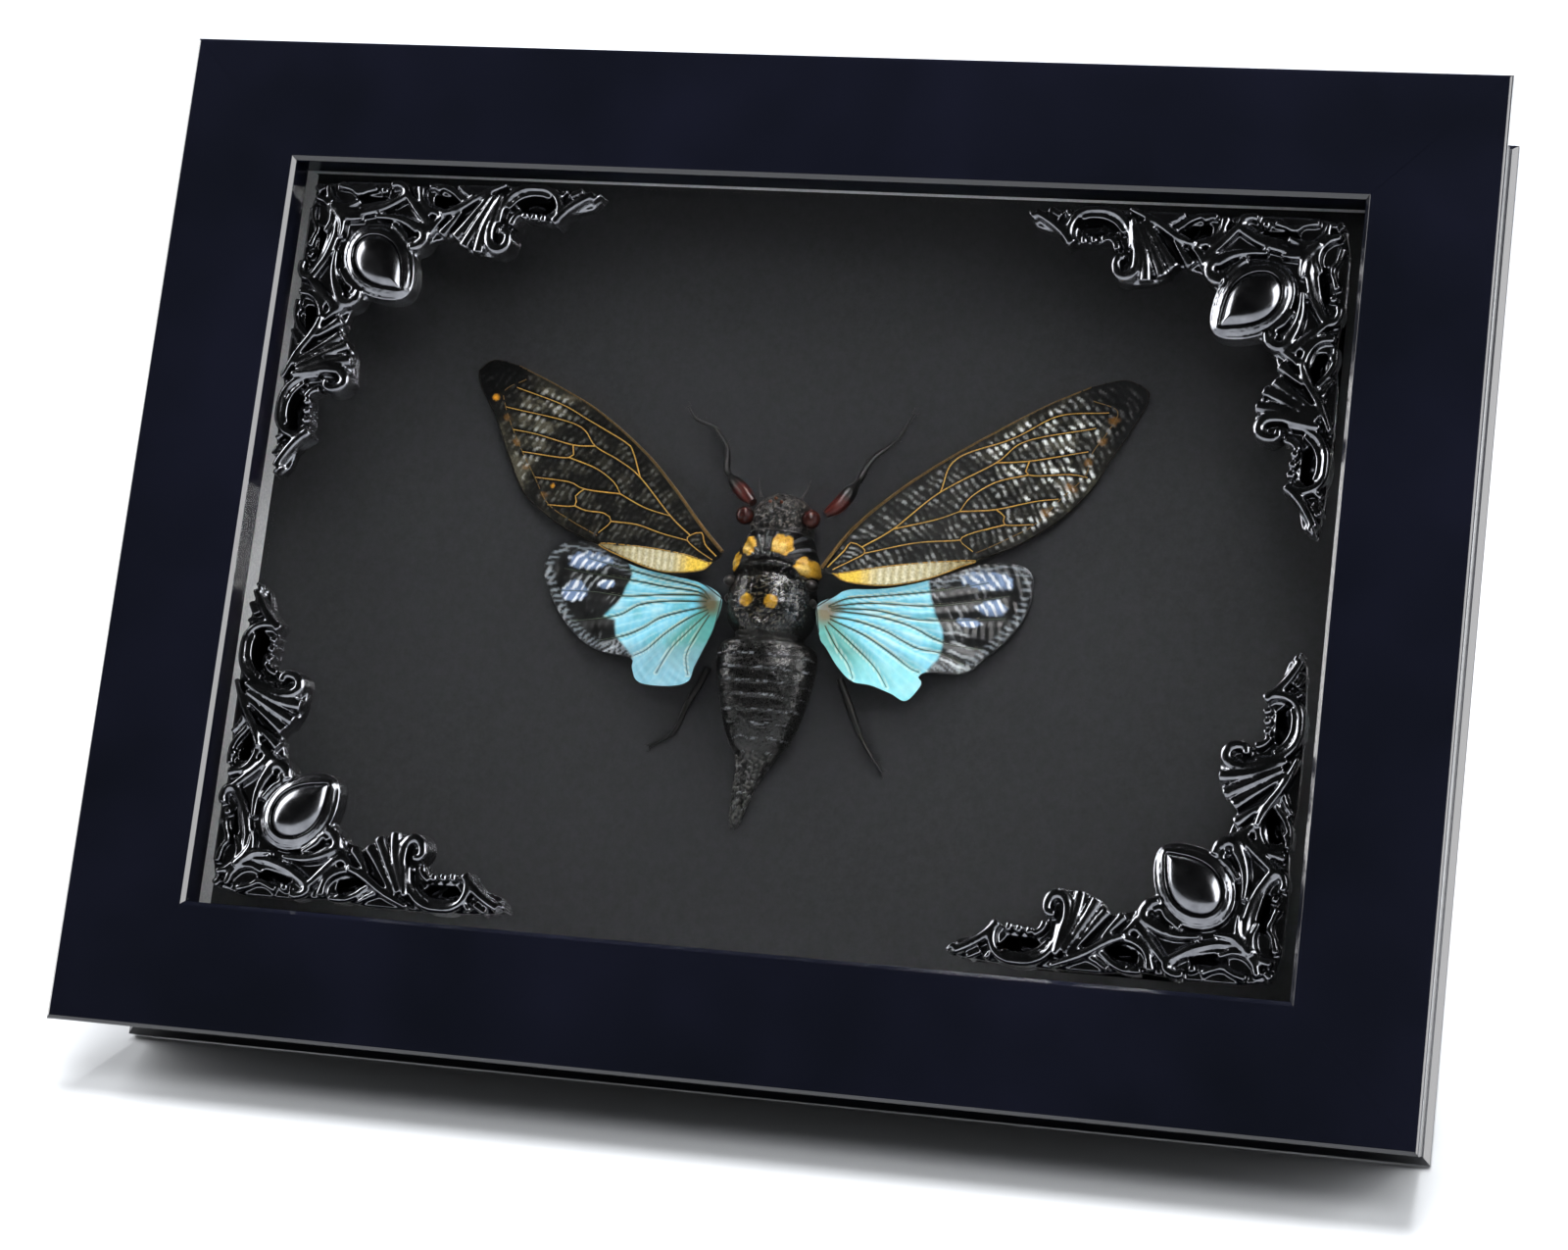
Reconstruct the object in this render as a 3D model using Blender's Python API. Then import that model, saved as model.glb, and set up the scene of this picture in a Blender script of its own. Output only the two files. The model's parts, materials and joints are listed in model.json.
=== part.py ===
"""Framed cicada specimen: a box frame on a hinged strut, with a pane, four cast corners and a spread insect.

Everything is laid out in the frame's own axes, in millimetres: x to the right, depth from the face to the
back, and height from the middle of the face. Those axes hang on one empty, which leans the whole frame back.
"""

import bmesh
import bpy
import math
from mathutils import Matrix, Vector

MM = 0.001
WELD = 0.000001

# Where an outline's own two axes and its thickness point: x is right, y is depth and z is up.
FACE_ON = Matrix(((1, 0, 0, 0), (0, 0, 1, 0), (0, 1, 0, 0), (0, 0, 0, 1)))
ALONG_X = Matrix(((0, 0, 1, 0), (1, 0, 0, 0), (0, 1, 0, 0), (0, 0, 0, 1)))

# Frame
FACE_WIDTH = 212.3
FACE_HEIGHT = 161.0
RAIL_FACE = 20.2
FRAME_DEPTH = 31.5
LIP_DEPTH = 6.0
LIP_BEVEL = 0.6
FACE_ROUND = 1.2
REBATE_WIDTH = 5.9
SIDE_TAPER = 2.3
FLARE_START = 28.0
FLARE_END = 29.3
FLARE_INSET = 1.1
MITRE_GAP = 0.3
LEAN = math.radians(25.8)

# What lies in the rebate, each depth measured from the face
FIT_GAP = 0.3
GLASS = (6.3, 8.3)
GLASS_PLAY = 0.4
SPACER = (8.6, 20.2)
SPACER_THICKNESS = 1.6
CARD = (20.5, 22.0)
FOAM = (22.3, 27.3)
PANEL = (27.6, 30.6)
CARD_PLAY = 0.6

# Strut
POINT_DEPTH = (30.9, 31.4)
POINT_WIDTH = 6.0
POINT_REACH = 9.0
POINT_SPACING = 95.0
HINGE_HEIGHT = 38.0
HINGE_DEPTH = 33.15
HINGE_RADIUS = 2.2
PIN_RADIUS = 0.9
PIN_HOLE = 1.0
ROD_SIDES = 16
LEAF_THICKNESS = 0.8
HINGE_WIDTH = 30.0
KNUCKLE_WIDTH = 10.0
PLATE_HEIGHT = 15.0
STRAP_LENGTH = 19.0
STRUT_THICKNESS = 2.6
STRUT_OPEN = math.radians(37.6)
STRUT_TOP_WIDTH = 34.0
STRUT_FOOT_WIDTH = 62.0

# Corner ornaments, measured from the casting's outer corner
CORNER_CLEARANCE = 1.7
CORNER_BACK = 6.0
CORNER_PLATE = 3.0
SCROLL_SINK = 0.23
SCROLL_SQUASH = 1.25
STONE_PLACE = 14.6
STONE_LENGTH = 11.6
STONE_WIDTH = 8.2
STONE_POINT = 0.75
STONE_SIDES = 16
BEZEL_BORDER = 2.2

# Insect
INSECT_SHIFT = -1.8
WING_THICKNESS = 0.25
BODY_SIDES = 14
EYE_RADIUS = 1.8
EYE_PLACE = (5.4, 12.6, 8.5)
WING_BENDS = (10.0, 34.0)
FOREWING_DEPTHS = (12.0, 18.9)
HINDWING_DEPTHS = (14.0, 19.6)


def clear_scene():
    for obj in list(bpy.data.objects):
        bpy.data.objects.remove(obj, do_unlink=True)
    for collection in list(bpy.data.collections):
        bpy.data.collections.remove(collection)


def make_collection(name):
    collection = bpy.data.collections.new(name)
    bpy.context.scene.collection.children.link(collection)
    return collection


def make_material(name, colour, roughness, metallic=0.0, transmission=0.0):
    material = bpy.data.materials.new(name)
    material.use_nodes = True
    shader = material.node_tree.nodes["Principled BSDF"]
    shader.inputs["Base Color"].default_value = (*colour, 1.0)
    shader.inputs["Roughness"].default_value = roughness
    shader.inputs["Metallic"].default_value = metallic
    shader.inputs["Transmission Weight"].default_value = transmission
    return material


clear_scene()
PARTS = make_collection("framed_cicada")
CUTTERS = make_collection("cutters")

def rail_profile():
    """The moulding's section: (distance in from the outer edge, depth)."""
    corner = FACE_ROUND * (1 - math.sqrt(0.5))
    return [
        (0.0, FACE_ROUND),
        (corner, corner),
        (FACE_ROUND, 0.0),
        (RAIL_FACE - LIP_BEVEL, 0.0),
        (RAIL_FACE, LIP_BEVEL),
        (RAIL_FACE, LIP_DEPTH),
        (RAIL_FACE - REBATE_WIDTH, LIP_DEPTH),
        (RAIL_FACE - REBATE_WIDTH, FRAME_DEPTH),
        (FLARE_INSET, FRAME_DEPTH),
        (FLARE_INSET, FLARE_END),
        (SIDE_TAPER, FLARE_START),
    ]


def leaned(depth, height):
    """How far back and how high a point of the frame lies once it leans, in millimetres."""
    back = depth * math.cos(LEAN) + height * math.sin(LEAN)
    up = height * math.cos(LEAN) - depth * math.sin(LEAN)
    return back, up


# The frame stands on the back edge of its bottom rail, and the strut on its cut foot.
bottom_edge = [leaned(depth, inset - FACE_HEIGHT / 2) for inset, depth in rail_profile()]
FLOOR = min(up for back, up in bottom_edge)
hinge_back, hinge_up = leaned(HINGE_DEPTH, HINGE_HEIGHT)
STRUT_TILT = STRUT_OPEN - LEAN
STRUT_LENGTH = (hinge_up - FLOOR) / math.cos(STRUT_TILT)
strut_back = hinge_back + STRUT_LENGTH * math.sin(STRUT_TILT) + STRUT_THICKNESS / 2 / math.cos(STRUT_TILT)
MIDDLE = (min(back for back, up in bottom_edge) + strut_back) / 2

frame_axes = bpy.data.objects.new("frame_axes", None)
frame_axes.rotation_euler = (-LEAN, 0.0, 0.0)
frame_axes.location = (0.0, -MIDDLE * MM, -FLOOR * MM)
PARTS.objects.link(frame_axes)


def add_object(name, mesh, material=None, parent=frame_axes):
    obj = bpy.data.objects.new(name, mesh)
    PARTS.objects.link(obj)
    obj.parent = parent
    if material:
        mesh.materials.clear()
        mesh.materials.append(material)
    return obj


def add_cutter(mesh, parent=frame_axes):
    cutter = bpy.data.objects.new("cutter", mesh)
    CUTTERS.objects.link(cutter)
    cutter.parent = parent
    cutter.hide_render = True
    cutter.display_type = "WIRE"
    return cutter


def mesh_from(name, bm):
    bmesh.ops.recalc_face_normals(bm, faces=bm.faces)
    mesh = bpy.data.meshes.new(name)
    bm.to_mesh(mesh)
    bm.free()
    mesh.shade_smooth()
    mesh.set_sharp_from_angle(angle=math.radians(40))
    return mesh


def box_mesh(low, high):
    """A box between two corners, in millimetres along (x, depth, height)."""
    bm = bmesh.new()
    bmesh.ops.create_cube(bm, size=MM)
    bmesh.ops.scale(bm, verts=bm.verts, vec=[b - a for a, b in zip(low, high)])
    bmesh.ops.translate(bm, verts=bm.verts, vec=[(a + b) / 2 * MM for a, b in zip(low, high)])
    return mesh_from("box", bm)


def rod_mesh(radius, x_low, x_high, depth=0.0, height=0.0):
    """A cylinder along x."""
    bm = bmesh.new()
    length = (x_high - x_low) * MM
    bmesh.ops.create_cone(
        bm, cap_ends=True, segments=ROD_SIDES, radius1=radius * MM, radius2=radius * MM, depth=length
    )
    bmesh.ops.rotate(bm, verts=bm.verts, matrix=Matrix.Rotation(math.pi / 2, 3, "Y"))
    place = Vector(((x_low + x_high) / 2, depth, height)) * MM
    bmesh.ops.translate(bm, verts=bm.verts, vec=place)
    return mesh_from("rod", bm)


def evaluated_mesh(obj):
    bpy.context.view_layer.update()
    return bpy.data.meshes.new_from_object(obj.evaluated_get(bpy.context.evaluated_depsgraph_get()))


def welded(curve):
    """A curve's solid as a bmesh, with its caps joined on."""
    guide = add_object("guide", curve)
    mesh = evaluated_mesh(guide)
    bpy.data.objects.remove(guide, do_unlink=True)
    bm = bmesh.new()
    bm.from_mesh(mesh)
    bmesh.ops.remove_doubles(bm, verts=bm.verts, dist=WELD)
    return bm


def extruded(outline, low, high, axes):
    """A flat outline (a, b) made solid from low to high; axes gives where a, b and the thickness point."""
    curve = bpy.data.curves.new("outline", "CURVE")
    curve.dimensions = "2D"
    curve.fill_mode = "BOTH"
    curve.extrude = (high - low) / 2 * MM
    spline = curve.splines.new("POLY")
    spline.points.add(len(outline) - 1)
    for point, (a, b) in zip(spline.points, outline):
        point.co = (a * MM, b * MM, 0.0, 1.0)
    spline.use_cyclic_u = True
    bm = welded(curve)
    bmesh.ops.translate(bm, verts=bm.verts, vec=(0.0, 0.0, (low + high) / 2 * MM))
    bmesh.ops.transform(bm, verts=bm.verts, matrix=axes)
    return bm


def tube(points, radii, resolution, squash=1.0):
    """A capped tube through points in millimetres; squash flattens or deepens it in depth."""
    curve = bpy.data.curves.new("tube", "CURVE")
    curve.dimensions = "3D"
    curve.bevel_depth = MM
    curve.bevel_resolution = resolution
    curve.use_fill_caps = True
    spline = curve.splines.new("POLY")
    spline.points.add(len(points) - 1)
    for point, place, radius in zip(spline.points, points, radii):
        point.co = (place[0] * MM, place[1] / squash * MM, place[2] * MM, 1.0)
        point.radius = radius
    bm = welded(curve)
    bmesh.ops.scale(bm, verts=bm.verts, vec=(1.0, squash, 1.0))
    return bm


def cut_off(bm, point, normal):
    """Takes away what lies on the normal's side of a plane, and closes the cut."""
    geometry = bm.verts[:] + bm.edges[:] + bm.faces[:]
    bmesh.ops.bisect_plane(bm, geom=geometry, plane_co=point, plane_no=normal, clear_outer=True)
    bmesh.ops.holes_fill(bm, edges=[edge for edge in bm.edges if edge.is_boundary])


def combine(target, others, operation):
    """Joins other objects to the target or cuts them from it, and removes them."""
    for other in others:
        boolean = target.modifiers.new("combine", "BOOLEAN")
        boolean.operation = operation
        boolean.object = other
        boolean.solver = "EXACT"
        target.data = evaluated_mesh(target)
        target.modifiers.clear()
        bpy.data.objects.remove(other, do_unlink=True)


# Frame


def make_rail(name, length, across, angle, material):
    """A mitred length of moulding, drawn as the top rail and turned about the middle of the face."""
    section = [(depth, across / 2 - inset) for inset, depth in rail_profile()]
    bm = extruded(section, -length / 2, length / 2, ALONG_X)
    for side in (-1, 1):
        corner = Vector((side * (length - MITRE_GAP) / 2, 0.0, across / 2)) * MM
        cut_off(bm, corner, (side, 0.0, -1.0))
    bmesh.ops.rotate(bm, verts=bm.verts, matrix=Matrix.Rotation(angle, 3, "Y"))
    add_object(name, mesh_from(name, bm), material)


def make_rails():
    paint = make_material("satin_black_rail", (0.008, 0.010, 0.017), 0.35)
    make_rail("rail_top", FACE_WIDTH, FACE_HEIGHT, 0.0, paint)
    make_rail("rail_right", FACE_HEIGHT, FACE_WIDTH, math.pi / 2, paint)
    make_rail("rail_bottom", FACE_WIDTH, FACE_HEIGHT, math.pi, paint)
    make_rail("rail_left", FACE_HEIGHT, FACE_WIDTH, -math.pi / 2, paint)


def rebate_half():
    """Half width and half height of the rebate."""
    inset = RAIL_FACE - REBATE_WIDTH
    return FACE_WIDTH / 2 - inset, FACE_HEIGHT / 2 - inset


def make_sheet(name, depths, play, material):
    half_width, half_height = rebate_half()
    low = (-half_width + play, depths[0], -half_height + play)
    high = (half_width - play, depths[1], half_height - play)
    add_object(name, box_mesh(low, high), material)


def make_glass():
    make_sheet("glass_pane", GLASS, GLASS_PLAY, make_material("clear_glass", (1, 1, 1), 0.0, 0.0, 1.0))


def make_spacers():
    board = make_material("grey_board", (0.45, 0.45, 0.44), 0.8)
    half_width, half_height = rebate_half()
    outer_x = half_width - FIT_GAP
    outer_z = half_height - FIT_GAP
    inner_x = outer_x - SPACER_THICKNESS
    inner_z = outer_z - SPACER_THICKNESS
    strips = {
        "spacer_top": ((-outer_x, inner_z), (outer_x, outer_z)),
        "spacer_bottom": ((-outer_x, -outer_z), (outer_x, -inner_z)),
        "spacer_left": ((-outer_x, -inner_z + FIT_GAP), (-inner_x, inner_z - FIT_GAP)),
        "spacer_right": ((inner_x, -inner_z + FIT_GAP), (outer_x, inner_z - FIT_GAP)),
    }
    for name, (low, high) in strips.items():
        mesh = box_mesh((low[0], SPACER[0], low[1]), (high[0], SPACER[1], high[1]))
        add_object(name, mesh, board)


def make_backing():
    make_sheet("backing_card", CARD, CARD_PLAY, make_material("black_card", (0.018, 0.019, 0.021), 0.9))
    make_sheet("foam_board", FOAM, CARD_PLAY, make_material("foam_board", (0.75, 0.75, 0.73), 0.8))
    make_sheet("back_panel", PANEL, CARD_PLAY, make_material("hardboard", (0.20, 0.12, 0.07), 0.7))


def make_retainer_points():
    """Thin steel points, driven into the rebate wall, that reach over the panel's edge."""
    steel = make_material("blued_steel", (0.25, 0.25, 0.26), 0.4, 1.0)
    half_width, half_height = rebate_half()
    half = POINT_WIDTH / 2
    spans = []
    for side in (-1, 1):
        reach = sorted((side * (half_height - FIT_GAP), side * (half_height - POINT_REACH)))
        for x in (-POINT_SPACING / 2, POINT_SPACING / 2):
            spans.append(((x - half, reach[0]), (x + half, reach[1])))
        reach = sorted((side * (half_width - FIT_GAP), side * (half_width - POINT_REACH)))
        spans.append(((reach[0], -half), (reach[1], half)))
    for number, (low, high) in enumerate(spans, start=1):
        mesh = box_mesh((low[0], POINT_DEPTH[0], low[1]), (high[0], POINT_DEPTH[1], high[1]))
        add_object("retainer_point_%d" % number, mesh, steel)


# Strut and hinge


def make_hinge(steel):
    """The plate on the panel, with the two outer knuckles, and the pin."""
    half = HINGE_WIDTH / 2
    inner = KNUCKLE_WIDTH / 2 + FIT_GAP
    leaf = PANEL[1] + FIT_GAP
    low = (-half, leaf, HINGE_HEIGHT + 1.0)
    high = (half, leaf + LEAF_THICKNESS, HINGE_HEIGHT + PLATE_HEIGHT)
    plate = add_object("hinge_plate", box_mesh(low, high), steel)
    for start, end in ((-half, -inner), (inner, half)):
        knuckle = rod_mesh(HINGE_RADIUS, start, end, HINGE_DEPTH, HINGE_HEIGHT)
        combine(plate, [add_object("knuckle", knuckle)], "UNION")
    low = (-inner, leaf - 1.0, HINGE_HEIGHT - 1.0)
    high = (inner, leaf + 1.0, HINGE_HEIGHT + HINGE_RADIUS + 2 * FIT_GAP)
    hole = rod_mesh(PIN_HOLE, -half - 1.0, half + 1.0, HINGE_DEPTH, HINGE_HEIGHT)
    combine(plate, [add_cutter(box_mesh(low, high)), add_cutter(hole)], "DIFFERENCE")
    pin = rod_mesh(PIN_RADIUS, -half - 0.6, half + 0.6, HINGE_DEPTH, HINGE_HEIGHT)
    add_object("hinge_pin", pin, steel)


def make_strut(steel):
    """The strut and its strap are drawn folded flat against the panel, then opened about the hinge axis."""
    board = make_material("black_hardboard", (0.012, 0.012, 0.013), 0.6)
    hinge = bpy.data.objects.new("strut_axis", None)
    PARTS.objects.link(hinge)
    hinge.parent = frame_axes
    hinge.location = (0.0, HINGE_DEPTH * MM, HINGE_HEIGHT * MM)
    hinge.rotation_euler = (STRUT_OPEN, 0.0, 0.0)

    top = -HINGE_RADIUS - 2 * FIT_GAP
    foot = -STRUT_LENGTH - STRUT_THICKNESS
    outline = [(-STRUT_TOP_WIDTH / 2, top), (STRUT_TOP_WIDTH / 2, top)]
    outline += [(STRUT_FOOT_WIDTH / 2, foot), (-STRUT_FOOT_WIDTH / 2, foot)]
    bm = extruded(outline, -STRUT_THICKNESS / 2, STRUT_THICKNESS / 2, FACE_ON)
    down = (0.0, -math.sin(STRUT_TILT), -math.cos(STRUT_TILT))
    cut_off(bm, (0.0, 0.0, -STRUT_LENGTH * MM), down)
    add_object("strut", mesh_from("strut", bm), board, hinge)

    half = KNUCKLE_WIDTH / 2
    leaf = STRUT_THICKNESS / 2 + FIT_GAP
    strap_mesh = box_mesh((-half, leaf, -STRAP_LENGTH), (half, leaf + LEAF_THICKNESS, -0.8))
    strap = add_object("hinge_strap", strap_mesh, steel, hinge)
    combine(strap, [add_object("knuckle", rod_mesh(HINGE_RADIUS, -half, half), None, hinge)], "UNION")
    hole = add_cutter(rod_mesh(PIN_HOLE, -half - 1.0, half + 1.0), hinge)
    combine(strap, [hole], "DIFFERENCE")


# Corner ornaments, drawn once with the outer corner at (0, 0) and both arms along +


def plate_outline():
    """One arm's edge, from the inner tip of the bezel round the arm to the outer corner."""
    return [
        (21.3, 21.3),
        (21.6, 16.5),
        (19.6, 12.2),
        (22.6, 10.2),
        (26.6, 9.0),
        (28.6, 11.2),
        (32.4, 12.2),
        (35.4, 9.6),
        (36.4, 6.6),
        (40.4, 6.4),
        (44.6, 5.0),
        (48.4, 4.4),
        (50.8, 2.8),
        (49.0, 1.2),
        (42.6, 1.0),
        (36.0, 0.4),
        (27.0, 0.4),
        (21.0, 1.2),
        (14.0, 0.6),
        (6.0, 0.4),
        (1.6, 1.6),
    ]


def plate_holes():
    return [
        [(8.0, 2.6), (12.6, 2.2), (17.0, 2.8), (15.6, 4.6), (11.0, 5.0)],
        [(26.4, 2.6), (30.6, 2.2), (33.0, 3.2), (29.2, 4.8), (26.6, 4.6)],
        [(38.6, 2.6), (42.6, 2.4), (43.6, 3.6), (40.6, 4.8), (38.4, 4.4)],
    ]


def swap(points):
    return [(q, p) for p, q in points]


def scroll_strokes():
    """Raised scrolls and leaf lobes of one arm, each stop being (p, q, radius)."""
    edge_scroll = [(3, 3, 0.8), (8, 6, 1.3), (14, 6.6, 1.2), (19.4, 5.2, 1.1)]
    edge_scroll += [(22.4, 2.4, 1.0), (19.6, 1.4, 0.7)]
    corner_curl = [(6.6, 5, 1.0), (4.8, 2.4, 0.9), (7.4, 1.3, 0.8), (10.2, 1.6, 0.6)]
    bezel_leaf = [(16.2, 6.4, 0.9), (21, 8.4, 1.2), (23.4, 11.2, 1.1), (21.2, 13, 0.8)]
    stem = [(21.6, 6.4, 0.9), (25.4, 5.8, 1.4), (30, 4.6, 1.3), (35.6, 1.8, 0.7)]
    edge_leaf = [(22.4, 4.4, 0.9), (26.2, 1.4, 0.9), (31.2, 1.4, 0.8), (34.6, 2.6, 0.6)]
    first_lobe = [(29.4, 5.2, 0.9), (27.8, 7.4, 1.1), (25.4, 8.6, 0.6)]
    second_lobe = [(32, 4, 0.9), (29.6, 7.8, 1.2), (28.8, 10.6, 0.8)]
    third_lobe = [(34.8, 3, 0.9), (32, 7, 1.3), (31.6, 11.2, 0.9)]
    inner_curl = [(35, 3.8, 0.9), (35.2, 7.2, 1.2), (34, 10.2, 1.2), (31.8, 9.2, 0.7)]
    tail = [(34.4, 2, 0.9), (38.4, 1.5, 0.9), (43, 1.8, 1.0), (45.6, 3.6, 1.1), (49.4, 3, 1.3)]
    tail_leaf = [(36.8, 5.8, 1.0), (40.4, 5.6, 1.0), (44.8, 3.8, 0.9)]
    lobes = [first_lobe, second_lobe, third_lobe]
    return [edge_scroll, corner_curl, bezel_leaf, stem, edge_leaf, *lobes, inner_curl, tail, tail_leaf]


def teardrop(length, width):
    """An oval with one pointed end: points (along, across) from its rounded end."""
    points = []
    for index in range(STONE_SIDES):
        turn = 2 * math.pi * index / STONE_SIDES
        along = -math.cos(turn) * length / 2
        pinch = 1.0 - STONE_POINT * (along / length + 0.5) ** 3
        points.append((along, math.sin(turn) * width / 2 * pinch))
    return points


def loft(bm, rings):
    """Joins rings of as many points one after the other, and closes both ends."""
    count = len(rings[0])
    for first, second in zip(rings, rings[1:]):
        for index in range(count):
            following = (index + 1) % count
            bm.faces.new((first[index], first[following], second[following], second[index]))
    bm.faces.new(rings[0])
    bm.faces.new(rings[-1])


def drop_solid(length, width, levels):
    """A teardrop of stacked rings, each (scale, height over the casting's back), where the stone sits."""
    bm = bmesh.new()
    rings = []
    for scale, height in levels:
        ring = []
        for along, across in teardrop(length * scale, width * scale):
            p = STONE_PLACE + (along - across) * math.sqrt(0.5)
            q = STONE_PLACE + (along + across) * math.sqrt(0.5)
            ring.append(bm.verts.new((p * MM, -height * MM, -q * MM)))
        rings.append(ring)
    loft(bm, rings)
    return bm


def make_corner_mesh():
    half = plate_outline()
    outline = [(p, -q) for p, q in half + list(reversed(swap(half[1:])))]
    corner = add_object("corner", mesh_from("corner", extruded(outline, -CORNER_PLATE, 0.0, FACE_ON)))
    cutters = []
    for hole in plate_holes():
        for shape in (hole, swap(hole)):
            flat = [(p, -q) for p, q in shape]
            cutters.append(add_cutter(mesh_from("hole", extruded(flat, -CORNER_PLATE - 1.0, 1.0, FACE_ON))))
    combine(corner, cutters, "DIFFERENCE")
    solids = []
    for stroke in scroll_strokes():
        radii = [radius for p, q, radius in stroke]
        route = [(p, q) for p, q, radius in stroke]
        for arm in (route, swap(route)):
            places = [(p, SCROLL_SINK - CORNER_PLATE, -q) for p, q in arm]
            solids.append(tube(places, radii, 0, SCROLL_SQUASH))
    rim = CORNER_PLATE + 1.1
    bezel_levels = [(1.0, 0.5), (1.0, rim - 0.9), (0.9, rim), (0.72, rim - 0.5)]
    solids.append(drop_solid(STONE_LENGTH + 2 * BEZEL_BORDER, STONE_WIDTH + 2 * BEZEL_BORDER, bezel_levels))
    stone_levels = [(1.0, 1.0), (1.0, rim - 0.5), (0.8, rim + 0.5), (0.45, rim + 1.0)]
    solids.append(drop_solid(STONE_LENGTH, STONE_WIDTH, stone_levels))
    combine(corner, [add_object("relief", mesh_from("relief", bm)) for bm in solids], "UNION")
    mesh = corner.data
    bpy.data.objects.remove(corner, do_unlink=True)
    return mesh


def make_corners():
    """Four castings of one mesh, each turned a quarter round, glued to the front of the pane."""
    gunmetal = make_material("gloss_black_casting", (0.012, 0.012, 0.013), 0.16)
    mesh = make_corner_mesh()
    reach_x = FACE_WIDTH / 2 - RAIL_FACE - CORNER_CLEARANCE
    reach_z = FACE_HEIGHT / 2 - RAIL_FACE - CORNER_CLEARANCE
    places = {
        "corner_top_left": (-reach_x, reach_z, 0),
        "corner_top_right": (reach_x, reach_z, 1),
        "corner_bottom_right": (reach_x, -reach_z, 2),
        "corner_bottom_left": (-reach_x, -reach_z, 3),
    }
    for name, (x, z, turns) in places.items():
        corner = add_object(name, mesh, gunmetal)
        corner.location = (x * MM, CORNER_BACK * MM, z * MM)
        corner.rotation_euler = (0.0, turns * math.pi / 2, 0.0)


# Insect, drawn about its own middle line; depths are still measured from the frame's face


def body_sections():
    """Stations of the body: (height, half width, depth of the back, depth of the belly)."""
    return [
        (12.6, 1.2, 13.0, 15.4),
        (11.6, 3.4, 11.6, 17.0),
        (9.4, 4.8, 10.4, 18.2),
        (7.2, 5.2, 10.0, 18.6),
        (5.6, 5.6, 9.6, 18.8),
        (3.0, 6.6, 9.0, 19.2),
        (0.4, 7.0, 9.2, 19.6),
        (-1.6, 6.6, 9.0, 19.6),
        (-4.6, 6.7, 8.8, 19.6),
        (-7.8, 6.2, 9.8, 19.4),
        (-10.0, 5.0, 11.4, 19.2),
        (-11.2, 6.8, 11.8, 19.6),
        (-14.0, 7.7, 11.6, 19.8),
        (-18.0, 7.4, 12.0, 19.8),
        (-22.0, 6.4, 13.0, 19.8),
        (-25.6, 4.9, 14.6, 19.8),
        (-28.2, 3.2, 16.0, 19.9),
        (-31.0, 2.0, 17.2, 19.9),
        (-34.0, 1.3, 18.2, 19.9),
        (-38.6, 0.5, 19.1, 19.9),
    ]


def make_body(shell):
    """The body is a loft through unlike ovals, with an eye on each side of the head."""
    bm = bmesh.new()
    rings = []
    for height, half_width, top, belly in body_sections():
        ring = []
        for index in range(BODY_SIDES):
            turn = 2 * math.pi * index / BODY_SIDES
            x = INSECT_SHIFT + half_width * math.sin(turn)
            depth = (top + belly) / 2 - (belly - top) / 2 * math.cos(turn)
            ring.append(bm.verts.new((x * MM, depth * MM, height * MM)))
        rings.append(ring)
    loft(bm, rings)
    body = add_object("cicada_body", mesh_from("cicada_body", bm), shell)
    for side in (-1, 1):
        bm = bmesh.new()
        bmesh.ops.create_uvsphere(bm, u_segments=10, v_segments=6, radius=EYE_RADIUS * MM)
        out, depth, height = EYE_PLACE
        place = Vector((INSECT_SHIFT + side * out, depth, height)) * MM
        bmesh.ops.translate(bm, verts=bm.verts, vec=place)
        combine(body, [add_object("eye", mesh_from("eye", bm))], "UNION")


def forewing_outline():
    """From the wing root along the leading edge to the tip and back along the trailing edge."""
    return [
        (8.2, 0.4),
        (8.6, 2.6),
        (12.2, 7.4),
        (18.0, 13.8),
        (24.3, 19.7),
        (32.0, 25.5),
        (39.6, 30.1),
        (46.0, 33.2),
        (51.0, 34.4),
        (54.4, 33.6),
        (55.0, 31.6),
        (53.6, 28.2),
        (51.2, 24.8),
        (48.6, 20.6),
        (46.6, 16.4),
        (43.2, 12.2),
        (38.2, 8.4),
        (33.0, 5.8),
        (29.0, 3.6),
        (23.8, 1.2),
        (17.8, -0.4),
        (12.0, -0.6),
    ]


def hindwing_outline():
    """From the wing root along the leading edge, round the tip and the folded lobe to the body."""
    return [
        (8.0, -4.0),
        (10.6, -2.2),
        (16.4, -0.6),
        (24.4, 1.6),
        (31.4, 4.4),
        (36.4, 5.0),
        (39.2, 3.2),
        (39.8, 0.0),
        (38.6, -3.6),
        (36.2, -7.2),
        (33.0, -10.4),
        (29.4, -12.6),
        (25.4, -13.4),
        (22.6, -14.4),
        (22.4, -17.2),
        (19.6, -17.8),
        (16.4, -17.0),
        (13.2, -16.2),
        (10.6, -13.2),
        (8.6, -9.6),
    ]


def wing_depth(out, root_depth, flat_depth):
    """A wing slopes from its root down to the card between the two bends, and lies flat beyond them."""
    near, far = WING_BENDS
    share = min(max((out - near) / (far - near), 0.0), 1.0)
    return root_depth + (flat_depth - root_depth) * share


def make_wing(name, outline, depths, side, material):
    flat = [(INSECT_SHIFT + side * out, height) for out, height in outline]
    bm = extruded(flat, -WING_THICKNESS / 2, WING_THICKNESS / 2, FACE_ON)
    for out in WING_BENDS:
        fold = ((INSECT_SHIFT + side * out) * MM, 0.0, 0.0)
        geometry = bm.verts[:] + bm.edges[:] + bm.faces[:]
        bmesh.ops.bisect_plane(bm, geom=geometry, plane_co=fold, plane_no=(1.0, 0.0, 0.0))
    for vert in bm.verts:
        vert.co.y += wing_depth(abs(vert.co.x / MM - INSECT_SHIFT), *depths) * MM
    add_object(name, mesh_from(name, bm), material)


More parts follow.
